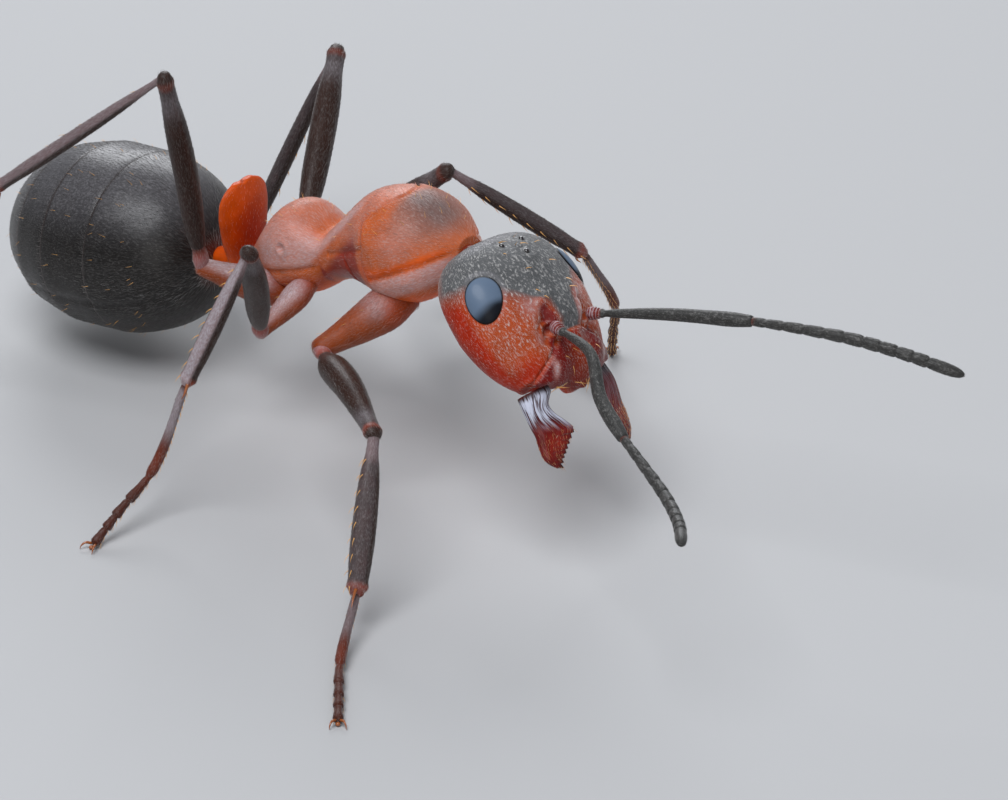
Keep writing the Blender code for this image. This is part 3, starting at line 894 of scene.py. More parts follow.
def head_marks(points):
    """Masks of the head's colours at points in millimetres."""
    local = in_head(points)
    x, y, z = local.T
    flank = np.abs(y)
    clypeus = step(x - clypeus_back(y), -0.02, 0.03) * step(z, 0.0, 0.12)
    middle = dome(np.hypot((x - 0.66) * 0.8, y), 0.17)
    triangle = step(x, 0.19, 0.24) * step(0.40 - x, 0, 0.03) * step((x - 0.17) * 0.75 - flank, -0.02, 0.02)
    # the dark cap, its edge softer on the flanks
    edge = np.interp(flank, *zip(*CAP_EDGE))
    level = np.interp(x, *zip(*CAP_LEVEL))
    soft = step(flank, 0.25, 0.5)
    dark = step(edge - x, -0.05 - 0.17 * soft, 0.06 + 0.16 * soft) * step(z - level, -0.34, 0.30)
    dark = np.maximum(dark * (1 - clypeus), triangle)
    # deep red as painted shade in the hollows behind and in front of the sockets, and the clypeus's own deep
    # red
    deep = 1.15 * dome(near_segment(x, flank, (0.10, 0.275), (0.27, 0.24)), 0.075) * step(z, 0.2, 0.35)
    hollow = dome(near_segment(x, flank, (0.42, 0.30), (0.60, 0.37)), 0.055) * step(z, 0.1, 0.25)
    deep = np.maximum(deep, hollow)
    deep = np.clip(np.maximum(deep, clypeus * (0.95 - 0.35 * middle)), 0, 1)
    # painted glow of light through the thin shell, over its own clearer orange: under the head, on the cheek
    # over the jaw, and in the middle of the clypeus
    glow = step(-z, -0.20, 0.06)
    glow = np.maximum(glow, 0.95 * dome(np.hypot(x - 0.62, (flank - 0.62) * 0.8), 0.19))
    glow = np.maximum(glow, 0.5 * clypeus * middle)
    # painted sheen where light catches the down: in front of the cheek, beside the socket, round the eye and
    # on the ridge, and a painted rim light on the crown
    ridge = dome(near_segment(x, flank, (0.06, 0.27), (0.30, 0.18)), 0.040) * step(y, -0.1, 0.1)
    crown = 0.35 * step(-x, 0.68, 0.80) * step(z, 0.0, 0.15)
    silk = dome(np.hypot(x - 0.70, (flank - 0.405) * 2.2), 0.070)
    silk += 0.45 * dome(np.hypot(x - 0.04, flank - 0.41), 0.09)
    silk += 0.40 * dome(np.hypot(x - 0.37, flank - 0.43), 0.05)
    silk += 0.30 * dome(np.abs(eye_reach(local) - 1.12), 0.10) * step(0.1 - x, 0, 0.3)
    silk = np.clip((silk + 0.8 * ridge) * step(z, 0.1, 0.2) + crown, 0, 1)
    return {
        "dark": dark * (1 - deep),
        "glow": glow * (1 - dark) * (1 - silk),
        "deep": deep * (1 - 0.3 * dark) * (1 - silk),
        "silk": silk,
        "gloss": triangle + 0.3 * deep,
    }


def face_places(spots, edge=0.04, rim=0.22):
    """Places (s, a) on the head's skin nearest to spots (x, y) of the face."""
    s, a = np.meshgrid(np.linspace(edge, 1 - edge, 260), np.linspace(TAU * rim, TAU * (1 - rim), 260))
    s, a = s.ravel(), a.ravel()
    local = head_local(s, a)
    found = [np.argmin((local[:, 0] - x) ** 2 + (local[:, 1] - y) ** 2) for x, y in spots]
    return s[found], a[found]


def on_face(spot):
    """The head's skin over a spot of the face, and its outward normal."""
    here, area, _ = slopes(head_skin, *face_places([spot], 0.05, 0.25))
    normal = unit(area)[0]
    return here[0], normal if normal @ (here[0] - HEAD_CENTRE) > 0 else -normal


class AntHead(bpy.types.Operator):
    """Head capsule with its sockets, clypeus, carinae and eye rims"""

    bl_idname = "ant.head"
    bl_label = "Head"

    def execute(self, context):
        look = shell_material(
            "head shell", shell_palette(), silver=0.58, lanes=(75.0, 200.0), relief=3.0e-6,
            sheen=0.0, varnish=0.0, specular=0.16,
        )
        finished("head_capsule", sheet(170, 200, head_skin), look, "red_shell", ["head"], head_marks)
        neck = limb_skin(
            [on_head((-0.55, 0, -0.22)), on_head((-0.80, 0, -0.26)), on_trunk(0.06, 0.0, -0.08)],
            ((0, 0.13), (0.5, 0.12), (1, 0.15)),
        )
        look = plain_material("dark joint", (0.16, 0.018, 0.006), 0.35, 0.3)
        finished("neck", sheet(30, 32, neck), look, "dark_shell")
        return {"FINISHED"}


class AntOcelli(bpy.types.Operator):
    """Three small glossy ocelli on the crown"""

    bl_idname = "ant.ocelli"
    bl_label = "Ocelli"

    def execute(self, context):
        radius, sunk = 0.032, 0.012
        parts = []
        for spot in OCELLI:
            here, normal = on_face(spot)
            parts.append(ball(here - normal * sunk, radius, detail=20))
        look = plain_material("ocellus", (0.012, 0.008, 0.007), 0.08, 1.0)
        finished("ocelli", joined(*parts), look, "eye")
        return {"FINISHED"}


def eye_skin(side):
    """A low lens over the plain form of the head, which its middle follows."""
    facing = EYE_FRAME[:, 1]

    def skin(s, a):
        out, ring = np.cos(np.pi * s), np.sin(np.pi * s)
        along, across = ring * np.cos(a), ring * np.sin(a)
        disc = np.stack([along, 0 * along, across * (1 - EYE_TAPER * along)], -1)
        place = EYE_AT + (disc * EYE_SIZE) @ EYE_FRAME.T
        # each place is moved along the facing until it lies on the form, by halving a stretch
        near, far = np.full(len(s), -0.2), np.full(len(s), 0.35)
        for _ in range(22):
            middle = (near + far) / 2
            outside = inside_head(place + middle[:, None] * facing) > 1
            near, far = np.where(outside, near, middle), np.where(outside, middle, far)
        place = place + facing * (near + out * EYE_SIZE[1] - EYE_SUNK)[:, None]
        return on_head(mirrored(place, side))

    return skin


def eye_material():
    made, tree, shader = blank("compound eye")
    place = in_millimetres(tree)
    # painted shade: darkens the eye's lower front corner, where it reflects the dark ground
    shade = mask(tree, "shade")
    base = blend(tree, shade, paint("eye"), (0.006, 0.007, 0.011))
    facets = node(tree, "TexVoronoi", {"Vector": place, "Scale": 62.0}, feature="F1").outputs["Distance"]
    bump = node(tree, "Bump", {"Height": facets, "Strength": 0.25, "Distance": 1.2e-6}, invert=True)
    lit = maths(tree, "SUBTRACT", 1.0, shade)
    feed(tree, shader, {
        "Base Color": blend(tree, mask(tree, "rim"), base, (0.006, 0.005, 0.005)),
        "Roughness": 0.42,
        "Specular IOR Level": 0.18,
        "Coat Weight": maths(tree, "MULTIPLY", lit, 0.12),
        "Coat Roughness": 0.18,
        "Normal": bump.outputs[0],
    })
    return made


def eye_marks(points):
    """Masks of the eye's painted shade, a dark reflection of the ground at its front corner, and of its rim.
    """
    local = in_head(points)
    along, _, across = eye_local(local).T
    shade = step(along + 0.55 * across, 0.05, 0.70) * step(along, -0.1, 0.3)
    return {"shade": shade, "rim": step(eye_reach(local), 0.90, 0.98)}


class AntEyes(bpy.types.Operator):
    """Compound eyes with fine facets, set in their rims"""

    bl_idname = "ant.eyes"
    bl_label = "Eyes"

    def execute(self, context):
        look = eye_material()
        for side in "rl":
            lens = sheet(60, 64, eye_skin(side))
            finished("eye_lens_" + side, lens, look, "eye", ["eye_" + side], eye_marks)
        return {"FINISHED"}


# ---------------------------------------------------------------- jaws and mouth

# share of the jaw's length, then forward and inward from its hinge
JAW_OUTER = (
    (0, -0.05, -0.225), (0.10, 0.04, -0.235), (0.35, 0.26, -0.250), (0.5, 0.37, -0.25),
    (0.65, 0.50, -0.273), (0.78, 0.60, -0.272), (0.9, 0.675, -0.238), (1, 0.730, -0.19),
)
JAW_INNER = (
    (0, -0.05, 0.125), (0.06, 0.02, 0.125), (0.14, 0.07, 0.085), (0.22, 0.13, 0.038),
    (0.32, 0.23, 0.045), (0.44, 0.36, 0.115), (0.5, 0.448, 0.150), (0.53, 0.470, 0.125),
    (1, 0.733, -0.170),
)
JAW_THICK = ((0, 0.09), (0.15, 0.10), (0.35, 0.075), (0.6, 0.055), (0.85, 0.04), (1, 0.02))
BLADE_FROM = 0.5  # share of the jaw's length at which its teeth begin
JAW_CAP = 0.03


def jaw_local(s, a):
    """The right jaw's skin in its own frame: forward, inward, up."""
    t = between_caps(s, JAW_CAP)
    outer = spline(JAW_OUTER, t)
    inner = spline(JAW_INNER, t)
    # teeth along the blade, each with a long front slope and a steep back, the last ones larger
    teeth = np.clip((t - BLADE_FROM) / (1 - BLADE_FROM), 0, 0.9999) * sizes().teeth
    part = teeth % 1.0
    tooth = np.where(part < 0.62, part / 0.62, (1 - part) / 0.38) * (t > BLADE_FROM + 0.01)
    grow = 0.026 + 0.030 * step(t, 0.88, 0.97)
    inner = inner + (np.array((0.75, 0.66)) * (tooth * grow)[:, None])
    middle, half = (outer + inner) / 2, (inner - outer) / 2
    shut = closing(s, JAW_CAP)
    # two grooves along the stalk, and a thin inner edge
    across = np.cos(a)
    edge = 0.22 + 0.78 * ((1 - across) / 2) ** 0.6
    groove = 1 - 0.20 * dome(across - 0.20, 0.09) * (t < 0.8) - 0.16 * dome(across + 0.30, 0.08) * (t < 0.7)
    thick = spline(JAW_THICK, t)[:, 0] * np.sin(a) * edge * groove
    flat = middle + half * (across * shut)[:, None]
    drop = JAW_DROP * (np.maximum(0, flat[:, 0]) / JAW_REACH) ** 2
    return np.stack([flat[:, 0], flat[:, 1], thick * shut - drop], -1)


def jaw_turn(side):
    return turn("X", JAW_LEAN[side]) @ turn("Z", JAW_SWING[side])


def jaw_skin(side):
    def skin(s, a):
        local = jaw_local(s, a) @ jaw_turn(side).T
        if side == "l":
            local = local * (1, -1, 1)
        return on_head(mirrored(JAW_AT, side) + local)

    return skin


def jaw_place(points, side):
    """Places in a jaw's own frame, as jaw_local gives them."""
    local = in_head(points) - mirrored(JAW_AT, side)
    if side == "l":
        local = local * (1, -1, 1)
    return local @ jaw_turn(side)


def jaw_marks(side):
    """Masks of a jaw: dark along its teeth and at its root, a painted sheen on the ribs of the right stalk,
    faint on the left jaw, which faces away.
    """
    # painted sheen: strong on the right stalk, which faces the light, faint on the left one
    sheen_strength = {"r": 1.0, "l": 0.12}[side]

    def marks(points):
        forward, inward, _ = jaw_place(points, side).T
        margin = (forward - 0.453) * 0.75 + (inward - 0.145) * 0.66
        toothed = 0.9 * step(margin, -0.035, 0.03) * step(forward, 0.3, 0.4)
        stalk = step(0.34 + 0.4 * inward - forward, -0.10, 0.10) * sheen_strength
        return {
            "dark": np.clip(toothed + 0.95 * dome(forward, 0.10), 0, 1),
            "glow": 0.45 * dome(np.hypot(forward - 0.50, inward + 0.08), 0.13),
            "deep": np.full(len(points), 0.15),
            "pale": stalk * step(forward, -0.04, 0.03),
        }

    return marks


def jaw_material():
    made, tree, shader = blank("jaw")
    palette = shell_palette(red=paint("jaw"), glow=(0.62, 0.05, 0.01), dark=(0.035, 0.010, 0.008))
    markings, _ = marked_colour(tree, palette)
    pale = mask(tree, "pale")
    where = node(tree, "UVMap", uv_map="UVMap").outputs[0]
    lanes = node(tree, "Mapping", {"Vector": where, "Scale": (2.2, 26.0, 1.0)}).outputs[0]
    streak = node(tree, "TexNoise", {"Vector": lanes, "Scale": 1.6, "Detail": 3.0, "Distortion": 0.4})
    line = ranged(tree, streak.outputs[0], 0.40, 0.52)
    # painted highlight: blue-silver along the ribs where the sheen mask lies, over a darker stalk
    rib_sheen = maths(tree, "MULTIPLY", pale, maths(tree, "MULTIPLY", line, 0.95))
    under = maths(tree, "MULTIPLY", pale, 0.8)
    base = blend(tree, under, markings.outputs["Color"], (0.035, 0.008, 0.010))
    bump = node(tree, "Bump", {"Height": line, "Strength": 1.0, "Distance": 6.0e-6})
    feed(tree, shader, {
        "Base Color": blend(tree, rib_sheen, base, (0.55, 0.57, 0.68)),
        "Roughness": 0.26,
        "Specular IOR Level": 0.3,
        "Coat Weight": 0.25,
        "Coat Roughness": 0.12,
        "Normal": bump.outputs[0],
    })
    return made


class AntJaws(bpy.types.Operator):
    """Open jaws: ribbed stalks and toothed blades"""

    bl_idname = "ant.jaws"
    bl_label = "Jaws"

    def execute(self, context):
        look = jaw_material()
        for side in "rl":
            blade = sheet(140, 40, jaw_skin(side))
            finished("jaw_blade_" + side, blade, look, "jaw", ["jaw_" + side], jaw_marks(side))
        return {"FINISHED"}


PALPS = (  # radius, and places in the head's frame from root to tip
    (0.026, ((0.52, 0.15, -0.30), (0.48, 0.20, -0.38), (0.34, 0.23, -0.46), (0.16, 0.22, -0.51),
             (-0.02, 0.19, -0.53))),
    (0.020, ((0.62, 0.07, -0.27), (0.60, 0.09, -0.35), (0.50, 0.10, -0.42), (0.38, 0.10, -0.46))),
)


def palp_skin(path, radius):
    """A palp of five joints."""
    widths = [(i / 40, 1 - 0.35 * dome((i / 40 * 5) % 1.0, 0.10)) for i in range(41)]
    return limb_skin(path, widened(widths, radius))


class AntMouth(bpy.types.Operator):
    """Labrum, lower lip and the palps folded under the head"""

    bl_idname = "ant.mouth"
    bl_label = "Mouthparts"

    def execute(self, context):
        look = plain_material("mouthparts", (0.16, 0.035, 0.015), 0.35, 0.3)
        lip = limb_skin(
            on_head([(0.30, 0, -0.34), (0.50, 0, -0.30), (0.66, 0, -0.20)]),
            ((0, 0.13), (0.5, 0.14), (0.85, 0.11), (1, 0.07)), reference=HEAD_MATRIX[:, 2], flat=1.25,
        )
        labrum = limb_skin(
            on_head([(0.66, 0, 0.02), (0.80, 0, 0.04)]),
            ((0, 0.06), (0.6, 0.06), (1, 0.035)), reference=HEAD_MATRIX[:, 2], flat=3.4,
        )
        parts = [sheet(24, 32, lip), sheet(20, 32, labrum)]
        for hand in (-1, 1):
            for radius, places in PALPS:
                path = on_head(np.array(places) * (1, hand, 1))
                parts.append(sheet(50, 12, palp_skin(path, radius)))
        finished("mouthparts", joined(*parts), look, "red_shell")
        return {"FINISHED"}


# ---------------------------------------------------------------- feelers

BALL_RADIUS = 0.068
BALL_SUNK = 0.045  # of the ball's middle below the rim of its socket
SCAPE_BOW = 0.03
RING_GAP = 0.030
# shares of the length and of the greatest radius: the ringed neck, then the rod
SCAPE_WIDTHS = (
    (0.0, 0.95), (0.012, 0.80), (0.022, 0.92), (0.032, 0.72), (0.042, 0.82), (0.052, 0.60),
    (0.06, 0.66), (0.085, 0.50), (0.13, 0.58), (0.3, 0.76), (0.7, 0.98), (0.93, 1.0), (1, 0.85),
)
WHIP_WIDTHS = ((0.0, 0.82), (0.06, 0.88), (0.25, 0.96), (0.6, 1.0), (0.88, 0.98), (0.96, 0.90))


def feeler_joints(side):
    """Joints of a feeler: those of its scape, and from the elbow on those of its whip."""
    joints = [on_head(mirrored(SOCKET_AT - (0.0, 0.0, BALL_SUNK), side))]
    for span, heading, climb in SCAPES[side]:
        joints.append(joints[-1] + span * direction(heading, climb))
    whip = [joints[-1]]
    for span, heading, climb in WHIPS[side]:
        whip.append(whip[-1] + span * direction(heading, climb))
    return joints, whip


def scape_skin(side):
    joints, _ = feeler_joints(side)
    path = [joints[0]]
    if side == "l":
        path.append((joints[0] + joints[1]) / 2 + (0, 0, SCAPE_BOW))
    path += joints[1:]
    return limb_skin(path, widened(SCAPE_WIDTHS, sizes().scape / MM), cap=0.02)


def whip_skin(side):
    """The whip's joints, each narrowed at its ends, growing thicker to the middle of the whip."""
    _, path = feeler_joints(side)
    ends = np.cumsum((0, *WHIP_JOINTS)) / sum(WHIP_JOINTS)
    radius = sizes().whip / MM
    stations = []
    for number, (near, far) in enumerate(zip(ends, ends[1:])):
        last = number == len(WHIP_JOINTS) - 1
        for share, width in WHIP_WIDTHS:
            along = near + (far - near) * share
            if last:
                width *= 1 - 0.42 * share**4
            width *= 0.70 + 0.30 * min(1, along / 0.45)
            stations.append((along, radius * width))
    stations.append((1.0, radius * 0.42))
    return limb_skin(path, stations, cap=0.008)


def scape_marks(side):
    """Masks of a scape: a red ball with a painted silver sheen on its rings, dark from just past it."""
    joints, _ = feeler_joints(side)
    axis = unit(joints[1] - joints[0])
    reach = {"l": (0.08, 0.13), "r": (0.07, 0.12)}[side]

    def marks(points):
        away = points - joints[0]
        far = np.linalg.norm(away, axis=1)
        rings = step(np.cos(away @ axis * TAU / RING_GAP), 0.0, 0.5) * step(0.11 - far, 0, 0.02)
        return {
            "dark": step(far, *reach), "glow": far * 0, "deep": 0.9 * step(0.16 - far, 0, 0.08),
            "silk": 0.9 * rings,
        }

    return marks


def whip_marks(side):
    """Masks of a whip: dark, with a lighter elbow."""
    elbow = feeler_joints(side)[1][0]

    def marks(points):
        far = np.linalg.norm(points - elbow, axis=1)
        light = dome(far - 0.01, 0.05)
        return {"dark": 0.97 - 0.5 * light, "glow": 0.7 * light, "deep": far * 0}

    return marks


class AntFeelers(bpy.types.Operator):
    """Both feelers: ball, scape and the jointed whip"""

    bl_idname = "ant.feelers"
    bl_label = "Feelers"

    def execute(self, context):
        look = shell_material(
            "feeler shell", feeler_palette(), silver=0.16, lanes=(60.0, 24.0), relief=1.8e-6,
            sheen=0.04, varnish=0.02, roughness=0.42, rough_dark=0.45,
        )
        for side in "rl":
            joints, _ = feeler_joints(side)
            scape = joined(sheet(240, 28, scape_skin(side)), ball(joints[0], BALL_RADIUS, detail=28))
            finished("scape_rod_" + side, scape, look, "dark_shell", ["scape_" + side], scape_marks(side))
            whip = sheet(240, 24, whip_skin(side))
            finished("whip_rod_" + side, whip, look, "dark_shell", ["whip_" + side], whip_marks(side))
        return {"FINISHED"}


# ---------------------------------------------------------------- mesosoma, petiole, gaster


def trunk_skin(start, end, lip):
    """Skin of a stretch of the mesosoma, its front edge tucked in by a share of its width."""
    cap = 0.05  # share of the stretch that closes each end

    def skin(s, a):
        body = between_caps(s, cap)
        back = start + (end - start) * body
        width, top, bottom = spline(TRUNK, back).T
        side, up = squared(np.sin(a), TRUNK_SQUARENESS), squared(-np.cos(a), TRUNK_SQUARENESS)
        middle, half = (top + bottom) / 2, (top - bottom) / 2
        low = np.where(top > 0.05, 0.0, middle)
        top, bottom = np.where(top > 0.05, top, half), np.where(top > 0.05, -bottom, half)
        tuck = 1 - lip * (0.3 + dome(body, 0.05)) * (start > 0)
        close = closing(s, cap) ** 0.7
        height = np.where(up > 0, up * top, up * bottom)
        reach = (tuck + trunk_relief(back, width * side, height) / 0.5) * close
        return on_trunk(back, width * side * reach, low + height * reach)

    return skin


def trunk_relief(back, side, up):
    """Grooves and swellings of the mesosoma, in millimetres."""
    flank = np.abs(side)
    side_face = step(flank, 0.12, 0.3)
    # the pronotum's lower groove, and the lobe under it
    lower = 0.08 - 0.23 * back
    rise = -0.024 * dome(up - lower, 0.022) * side_face * step(0.95 - back, 0, 0.06)
    rise += 0.020 * step(lower - up, 0.0, 0.14) * step(0.95 - back, 0, 0.1)
    # the mesothorax: its long groove and the upright one
    long = -0.030 * dome(up - 0.10 - 0.25 * (1.3 - back), 0.025) * side_face
    rise += long * step(back, 0.9, 0.98) * step(1.66 - back, 0, 0.05)
    upright = -0.025 * dome(back - 1.30 - 0.25 * up, 0.022) * side_face
    rise += upright * step(-up, -0.1, 0.1) * step(1.6 - back, 0, 0.1)
    # the propodeum: its breathing hole with the rim, the groove under it, the gland's swelling
    rise += -0.030 * dome(np.hypot(back - 2.20, up - 0.08), 0.035) * step(flank, 0.3, 0.4)
    rise += 0.020 * dome(np.hypot(back - 2.20, up - 0.08) - 0.065, 0.022) * step(flank, 0.3, 0.4)
    groove = -0.030 * dome(up + 0.18 + 0.10 * (back - 2.2), 0.026) * side_face
    rise += groove * step(back, 1.8, 1.95) * step(2.6 - back, 0, 0.1)
    rise += 0.030 * dome(np.hypot((back - 2.45) * 0.8, up + 0.33), 0.10) * side_face
    # the breathing holes on top of the deep groove, and the front edge of the mesonotum
    rise += 0.018 * dome(np.hypot(back - 1.72, flank - 0.18), 0.05) * step(up, 0, 0.1)
    arch = back - mesonotum_front(flank)
    edge = 0.012 * step(-arch, 0.0, 0.05) - 0.018 * dome(arch - 0.01, 0.020)
    return rise + edge * step(up, 0.12, 0.25) * step(1.1 - back, 0, 0.1)


def mesonotum_front(flank):
    """Distance back at which the arched front edge of the mesonotum lies."""
    return 0.64 + 0.32 * np.minimum(1, flank / 0.45) ** 2


def trunk_marks(points):
    """Masks of the mesosoma's colours at points in millimetres."""
    local = (points - FRONT_OF_TRUNK) @ TRUNK_TURN
    back, side, up = -local[:, 0], local[:, 1], local[:, 2]
    flank = step(np.abs(side), 0.12, 0.32)
    # dark patches on top of the pronotum, the mesonotum and the propodeum
    dark = 0.85 * dome(np.hypot((back - 0.36) / 1.1, side), 0.68)
    dark = dark * step(up, 0.0, 0.36) * step(0.74 - back, 0, 0.20)
    dark = np.maximum(dark, 0.40 * dome(np.hypot((back - 1.20) / 1.2, side), 0.30) * step(up, 0.25, 0.5))
    dark = np.maximum(dark, 0.28 * dome(np.hypot((back - 2.15) / 1.3, side), 0.36) * step(up, 0.0, 0.25))
    # painted glow and edge light: clear orange along the pronotum's lower edge, at its rear corner and on its
    # rear margin
    front = step(0.98 - back, 0, 0.05)
    lower = up - 0.08 + 0.23 * back
    lobe = front * flank * step(-lower, 0.01, 0.05) * step(lower + 0.30, 0, 0.10)
    rim = front * flank * dome(lower - 0.045, 0.05)
    corner = flank * dome(np.hypot((back - 0.97) * 0.8, up + 0.08), 0.13)
    over = back - mesonotum_front(np.abs(side))
    arch = dome(over + 0.035, 0.035) * step(up, 0.12, 0.25)
    # painted sheen of the down on the lobe, the shoulder, the flanks above a slanting line, and the mesonotum
    behind = step(back, 1.0, 1.12)
    line = up - 0.44 + 0.75 * (np.minimum(back, 1.95) - 1.12)
    band = 0.72 * step(line, 0.0, 0.10) - 0.50 * step(line, 0.26, 0.55)
    silk = 0.70 * lobe + 0.35 * flank * dome(np.hypot(back - 0.50, up - 0.24), 0.20)
    silk += behind * flank * band * step(2.75 - back, 0, 0.3)
    silk += 0.22 * step(over, 0, 0.05) * step(up, 0.15, 0.3)
    silk = np.clip(silk * (1 - rim) * (1 - corner) * (1 - arch), 0, 1)
    # deep red below that line, painted shade of the lower flanks, and in the seams
    seam = np.clip(sum(dome(back - at, 0.030) for at in SUTURES), 0, 1)
    deep = 0.95 * behind * flank * step(-line, 0.02, 0.22) * step(2.60 - back, 0, 0.3)
    # painted glow of light through the thin shell: faint everywhere, strong underneath and on the edges above
    glow = np.clip(0.10 + 0.9 * step(-up, 0.15, 0.45) + rim + corner + 0.5 * arch, 0, 1)
    return {
        "dark": np.clip(dark, 0, 1),
        "glow": glow * np.clip(1 - dark, 0, 1) * (1 - silk),
        "deep": np.clip(deep + 0.5 * seam, 0, 1) * (1 - silk),
        "silk": silk * np.clip(1 - 0.7 * dark, 0, 1),
        "gloss": 0.2 * deep,
    }


def trunk_stretches():
    """The plates of the mesosoma, each with its skin."""
    seam, groove = SUTURES
    for name, start, end in (
        ("pronotum", TRUNK[0][0], seam + 0.02),
        ("mesothorax", seam - 0.05, groove + 0.01),
        ("propodeum", groove - 0.04, TRUNK[-1][0]),
    ):
        yield name, trunk_skin(start, end, 0.010)


class AntTrunk(bpy.types.Operator):
    """Plates of the mesosoma: pronotum, mesothorax and propodeum"""

    bl_idname = "ant.trunk"
    bl_label = "Mesosoma"

    def execute(self, context):
        look = shell_material(
            "trunk shell", trunk_palette(), silver=0.20, lanes=(40.0, 260.0), relief=1.4e-6,
            sheen=0.05, varnish=0.03, specular=0.2,
        )
        for name, skin in trunk_stretches():
            finished(name + "_plate", sheet(90, 128, skin), look, "red_shell", [name], trunk_marks)
        return {"FINISHED"}


PETIOLE = FRONT_OF_TRUNK + PETIOLE_FROM_TRUNK
SCALE = (  # height, half width, half thickness
    (-0.17, 0.02, 0.20), (-0.05, 0.17, 0.17), (0.12, 0.245, 0.115), (0.30, 0.31, 0.105), (0.50, 0.352, 0.095),
    (0.70, 0.362, 0.080), (0.83, 0.325, 0.066), (0.91, 0.24, 0.052), (0.95, 0.15, 0.040),
)


def scale_skin(s, a):
    """Upright scale of the petiole, notched in the middle of its top."""
    low, high, cap = -0.17, 0.955, 0.03
    body = between_caps(s, cap)
    height = low + (high - low) * body
    half_width, half_thick = spline(SCALE, height).T
    notch = 0.02 * step(height, 0.75, 0.95)
    close = closing(s, cap)
    side = squared(np.sin(a), 0.95)
    thick = half_thick * -np.cos(a) * close + 0.02 - 0.05 * body
    local = np.stack([thick, half_width * side * close, height - notch * dome(side, 0.4)], -1)
    return PETIOLE + local


def stalk_skin():
    path = ((0.40, 0, 0.05), (0.20, 0, 0.0), (0.0, 0, -0.02), (-0.20, 0, -0.02), (-0.33, 0, -0.04))
    radii = ((0, 0.11), (0.3, 0.13), (0.5, 0.16), (0.75, 0.13), (1, 0.11))
    return limb_skin(PETIOLE + path, radii, cap=0.06)


def petiole_marks(points):
    local = points - PETIOLE
    # painted glow of light through the thin scale: clear orange outside its thicker core, deeper red in the
    # core
    core = dome(np.hypot(local[:, 1], local[:, 2] - 0.40), 0.30)
    return {"dark": core * 0, "glow": 1.0 - 0.55 * core, "deep": 0.45 * core}


class AntPetiole(bpy.types.Operator):
    """Petiole: its stalk and its upright scale"""

    bl_idname = "ant.petiole"
    bl_label = "Petiole"

    def execute(self, context):
        look = shell_material(
            "petiole shell", shell_palette(red=paint("glow"), glow=paint("petiole")), silver=0.06,
            lanes=(24.0, 60.0), relief=1.2e-6, sheen=0.0, varnish=0.06, roughness=0.34, specular=0.2,
        )
        body = joined(sheet(70, 72, scale_skin), sheet(40, 40, stalk_skin()))
        finished("petiole_scale", body, look, "red_shell", ["petiole"], petiole_marks)
        return {"FINISHED"}


GASTER_TURN = turn("Y", -GASTER_DROOP)
GASTER = FRONT_OF_TRUNK + GASTER_FROM_TRUNK


def gaster_skin(number):
    """Skin of one gaster plate; its rear edge lies over the next plate."""
    cap = 0.04  # share of the plate that closes each end
    start, end = GASTER_PLATES[number - 1], GASTER_PLATES[number]
    start = max(start, -0.995) - (0.06 if number > 1 else 0.0)
    end = min(end + 0.004, 0.995)

    def skin(s, a):
        body = between_caps(s, cap)
        along = start + (end - start) * body
        reach = (1 - np.abs(along) ** 2.3) ** (1 / 2.3)
        lip = 1 + 0.014 * step(body, 0.6, 1.0) - (0.03 * dome(body, 0.12) if number > 1 else 0.0)
        lip = lip - 0.02 * dome(body - 1, 0.015)
        radius = reach * lip * closing(s, cap) ** 0.6
        side, up = np.sin(a), -np.cos(a)
        crease = 1 - 0.02 * dome(up + 0.35, 0.05)
        local = np.stack([-along, side * radius * crease, up * radius * crease], -1) * GASTER_HALF
        return GASTER + local @ GASTER_TURN.T

    return skin


def gaster_marks(points):
    """Masks of the gaster: browner at its front and at the plates' edges, a painted sheen on top."""
    local = (points - GASTER) @ GASTER_TURN
    along, up = -local[:, 0] / GASTER_HALF[0], local[:, 2]
    edges = sum(dome(along - edge + 0.012, 0.016) for edge in GASTER_PLATES[1:-1])
    front = step(-along, 0.95, 0.99)
    return {
        "dark": np.clip(1 - 0.25 * edges - 0.5 * front, 0, 1), "glow": 0.4 * front,
        "deep": 0.35 * edges, "silk": 0.42 * step(up, 0.25, 0.85) * (1 - edges),
    }


class AntGaster(bpy.types.Operator):
    """The five plates of the gaster"""

    bl_idname = "ant.gaster"
    bl_label = "Gaster"

    def execute(self, context):
        look = shell_material(
            "gaster shell", gaster_palette(), silver=0.07, lanes=(40.0, 320.0), relief=0.8e-6,
            sheen=0.06, varnish=0.12, rough_dark=0.34, sheen_share=0.35,
        )
        for number in range(1, len(GASTER_PLATES)):
            name = "gaster_" + str(number)
            plate = sheet(60, 128, gaster_skin(number))
            finished(name + "_plate", plate, look, "dark_shell", [name], gaster_marks)
        ends = [GASTER + GASTER_TURN @ np.array((-back, 0, -0.02)) for back in (1.22, 1.30)]
        tip = sheet(20, 32, limb_skin(ends, ((0, 0.10), (1, 0.05)), cap=0.2))
        finished("gaster_tip", tip, look, "dark_shell", (), gaster_marks)
        return {"FINISHED"}


# ---------------------------------------------------------------- legs


CLAW_REACH = 0.11  # how far the claws reach past the last toe joint


def leg_joints(name):
    """Hip, trochanter, knee, ankle, toe root and toe tip of one leg."""
    hip, *spans, toes = LEGS[name]
    joints = [on_trunk(np.array([hip[0]]), np.array([hip[2]]), np.array([-hip[1]]))[0]]
    for span, heading, climb in spans:
        joints.append(joints[-1] + span * direction(heading, climb))
    span, heading = toes[0] - CLAW_REACH, toes[1]
    climb = -math.degrees(math.asin((joints[-1][2] - sizes().toe / MM) / span))
    joints.append(joints[-1] + span * direction(heading, climb))
    return joints


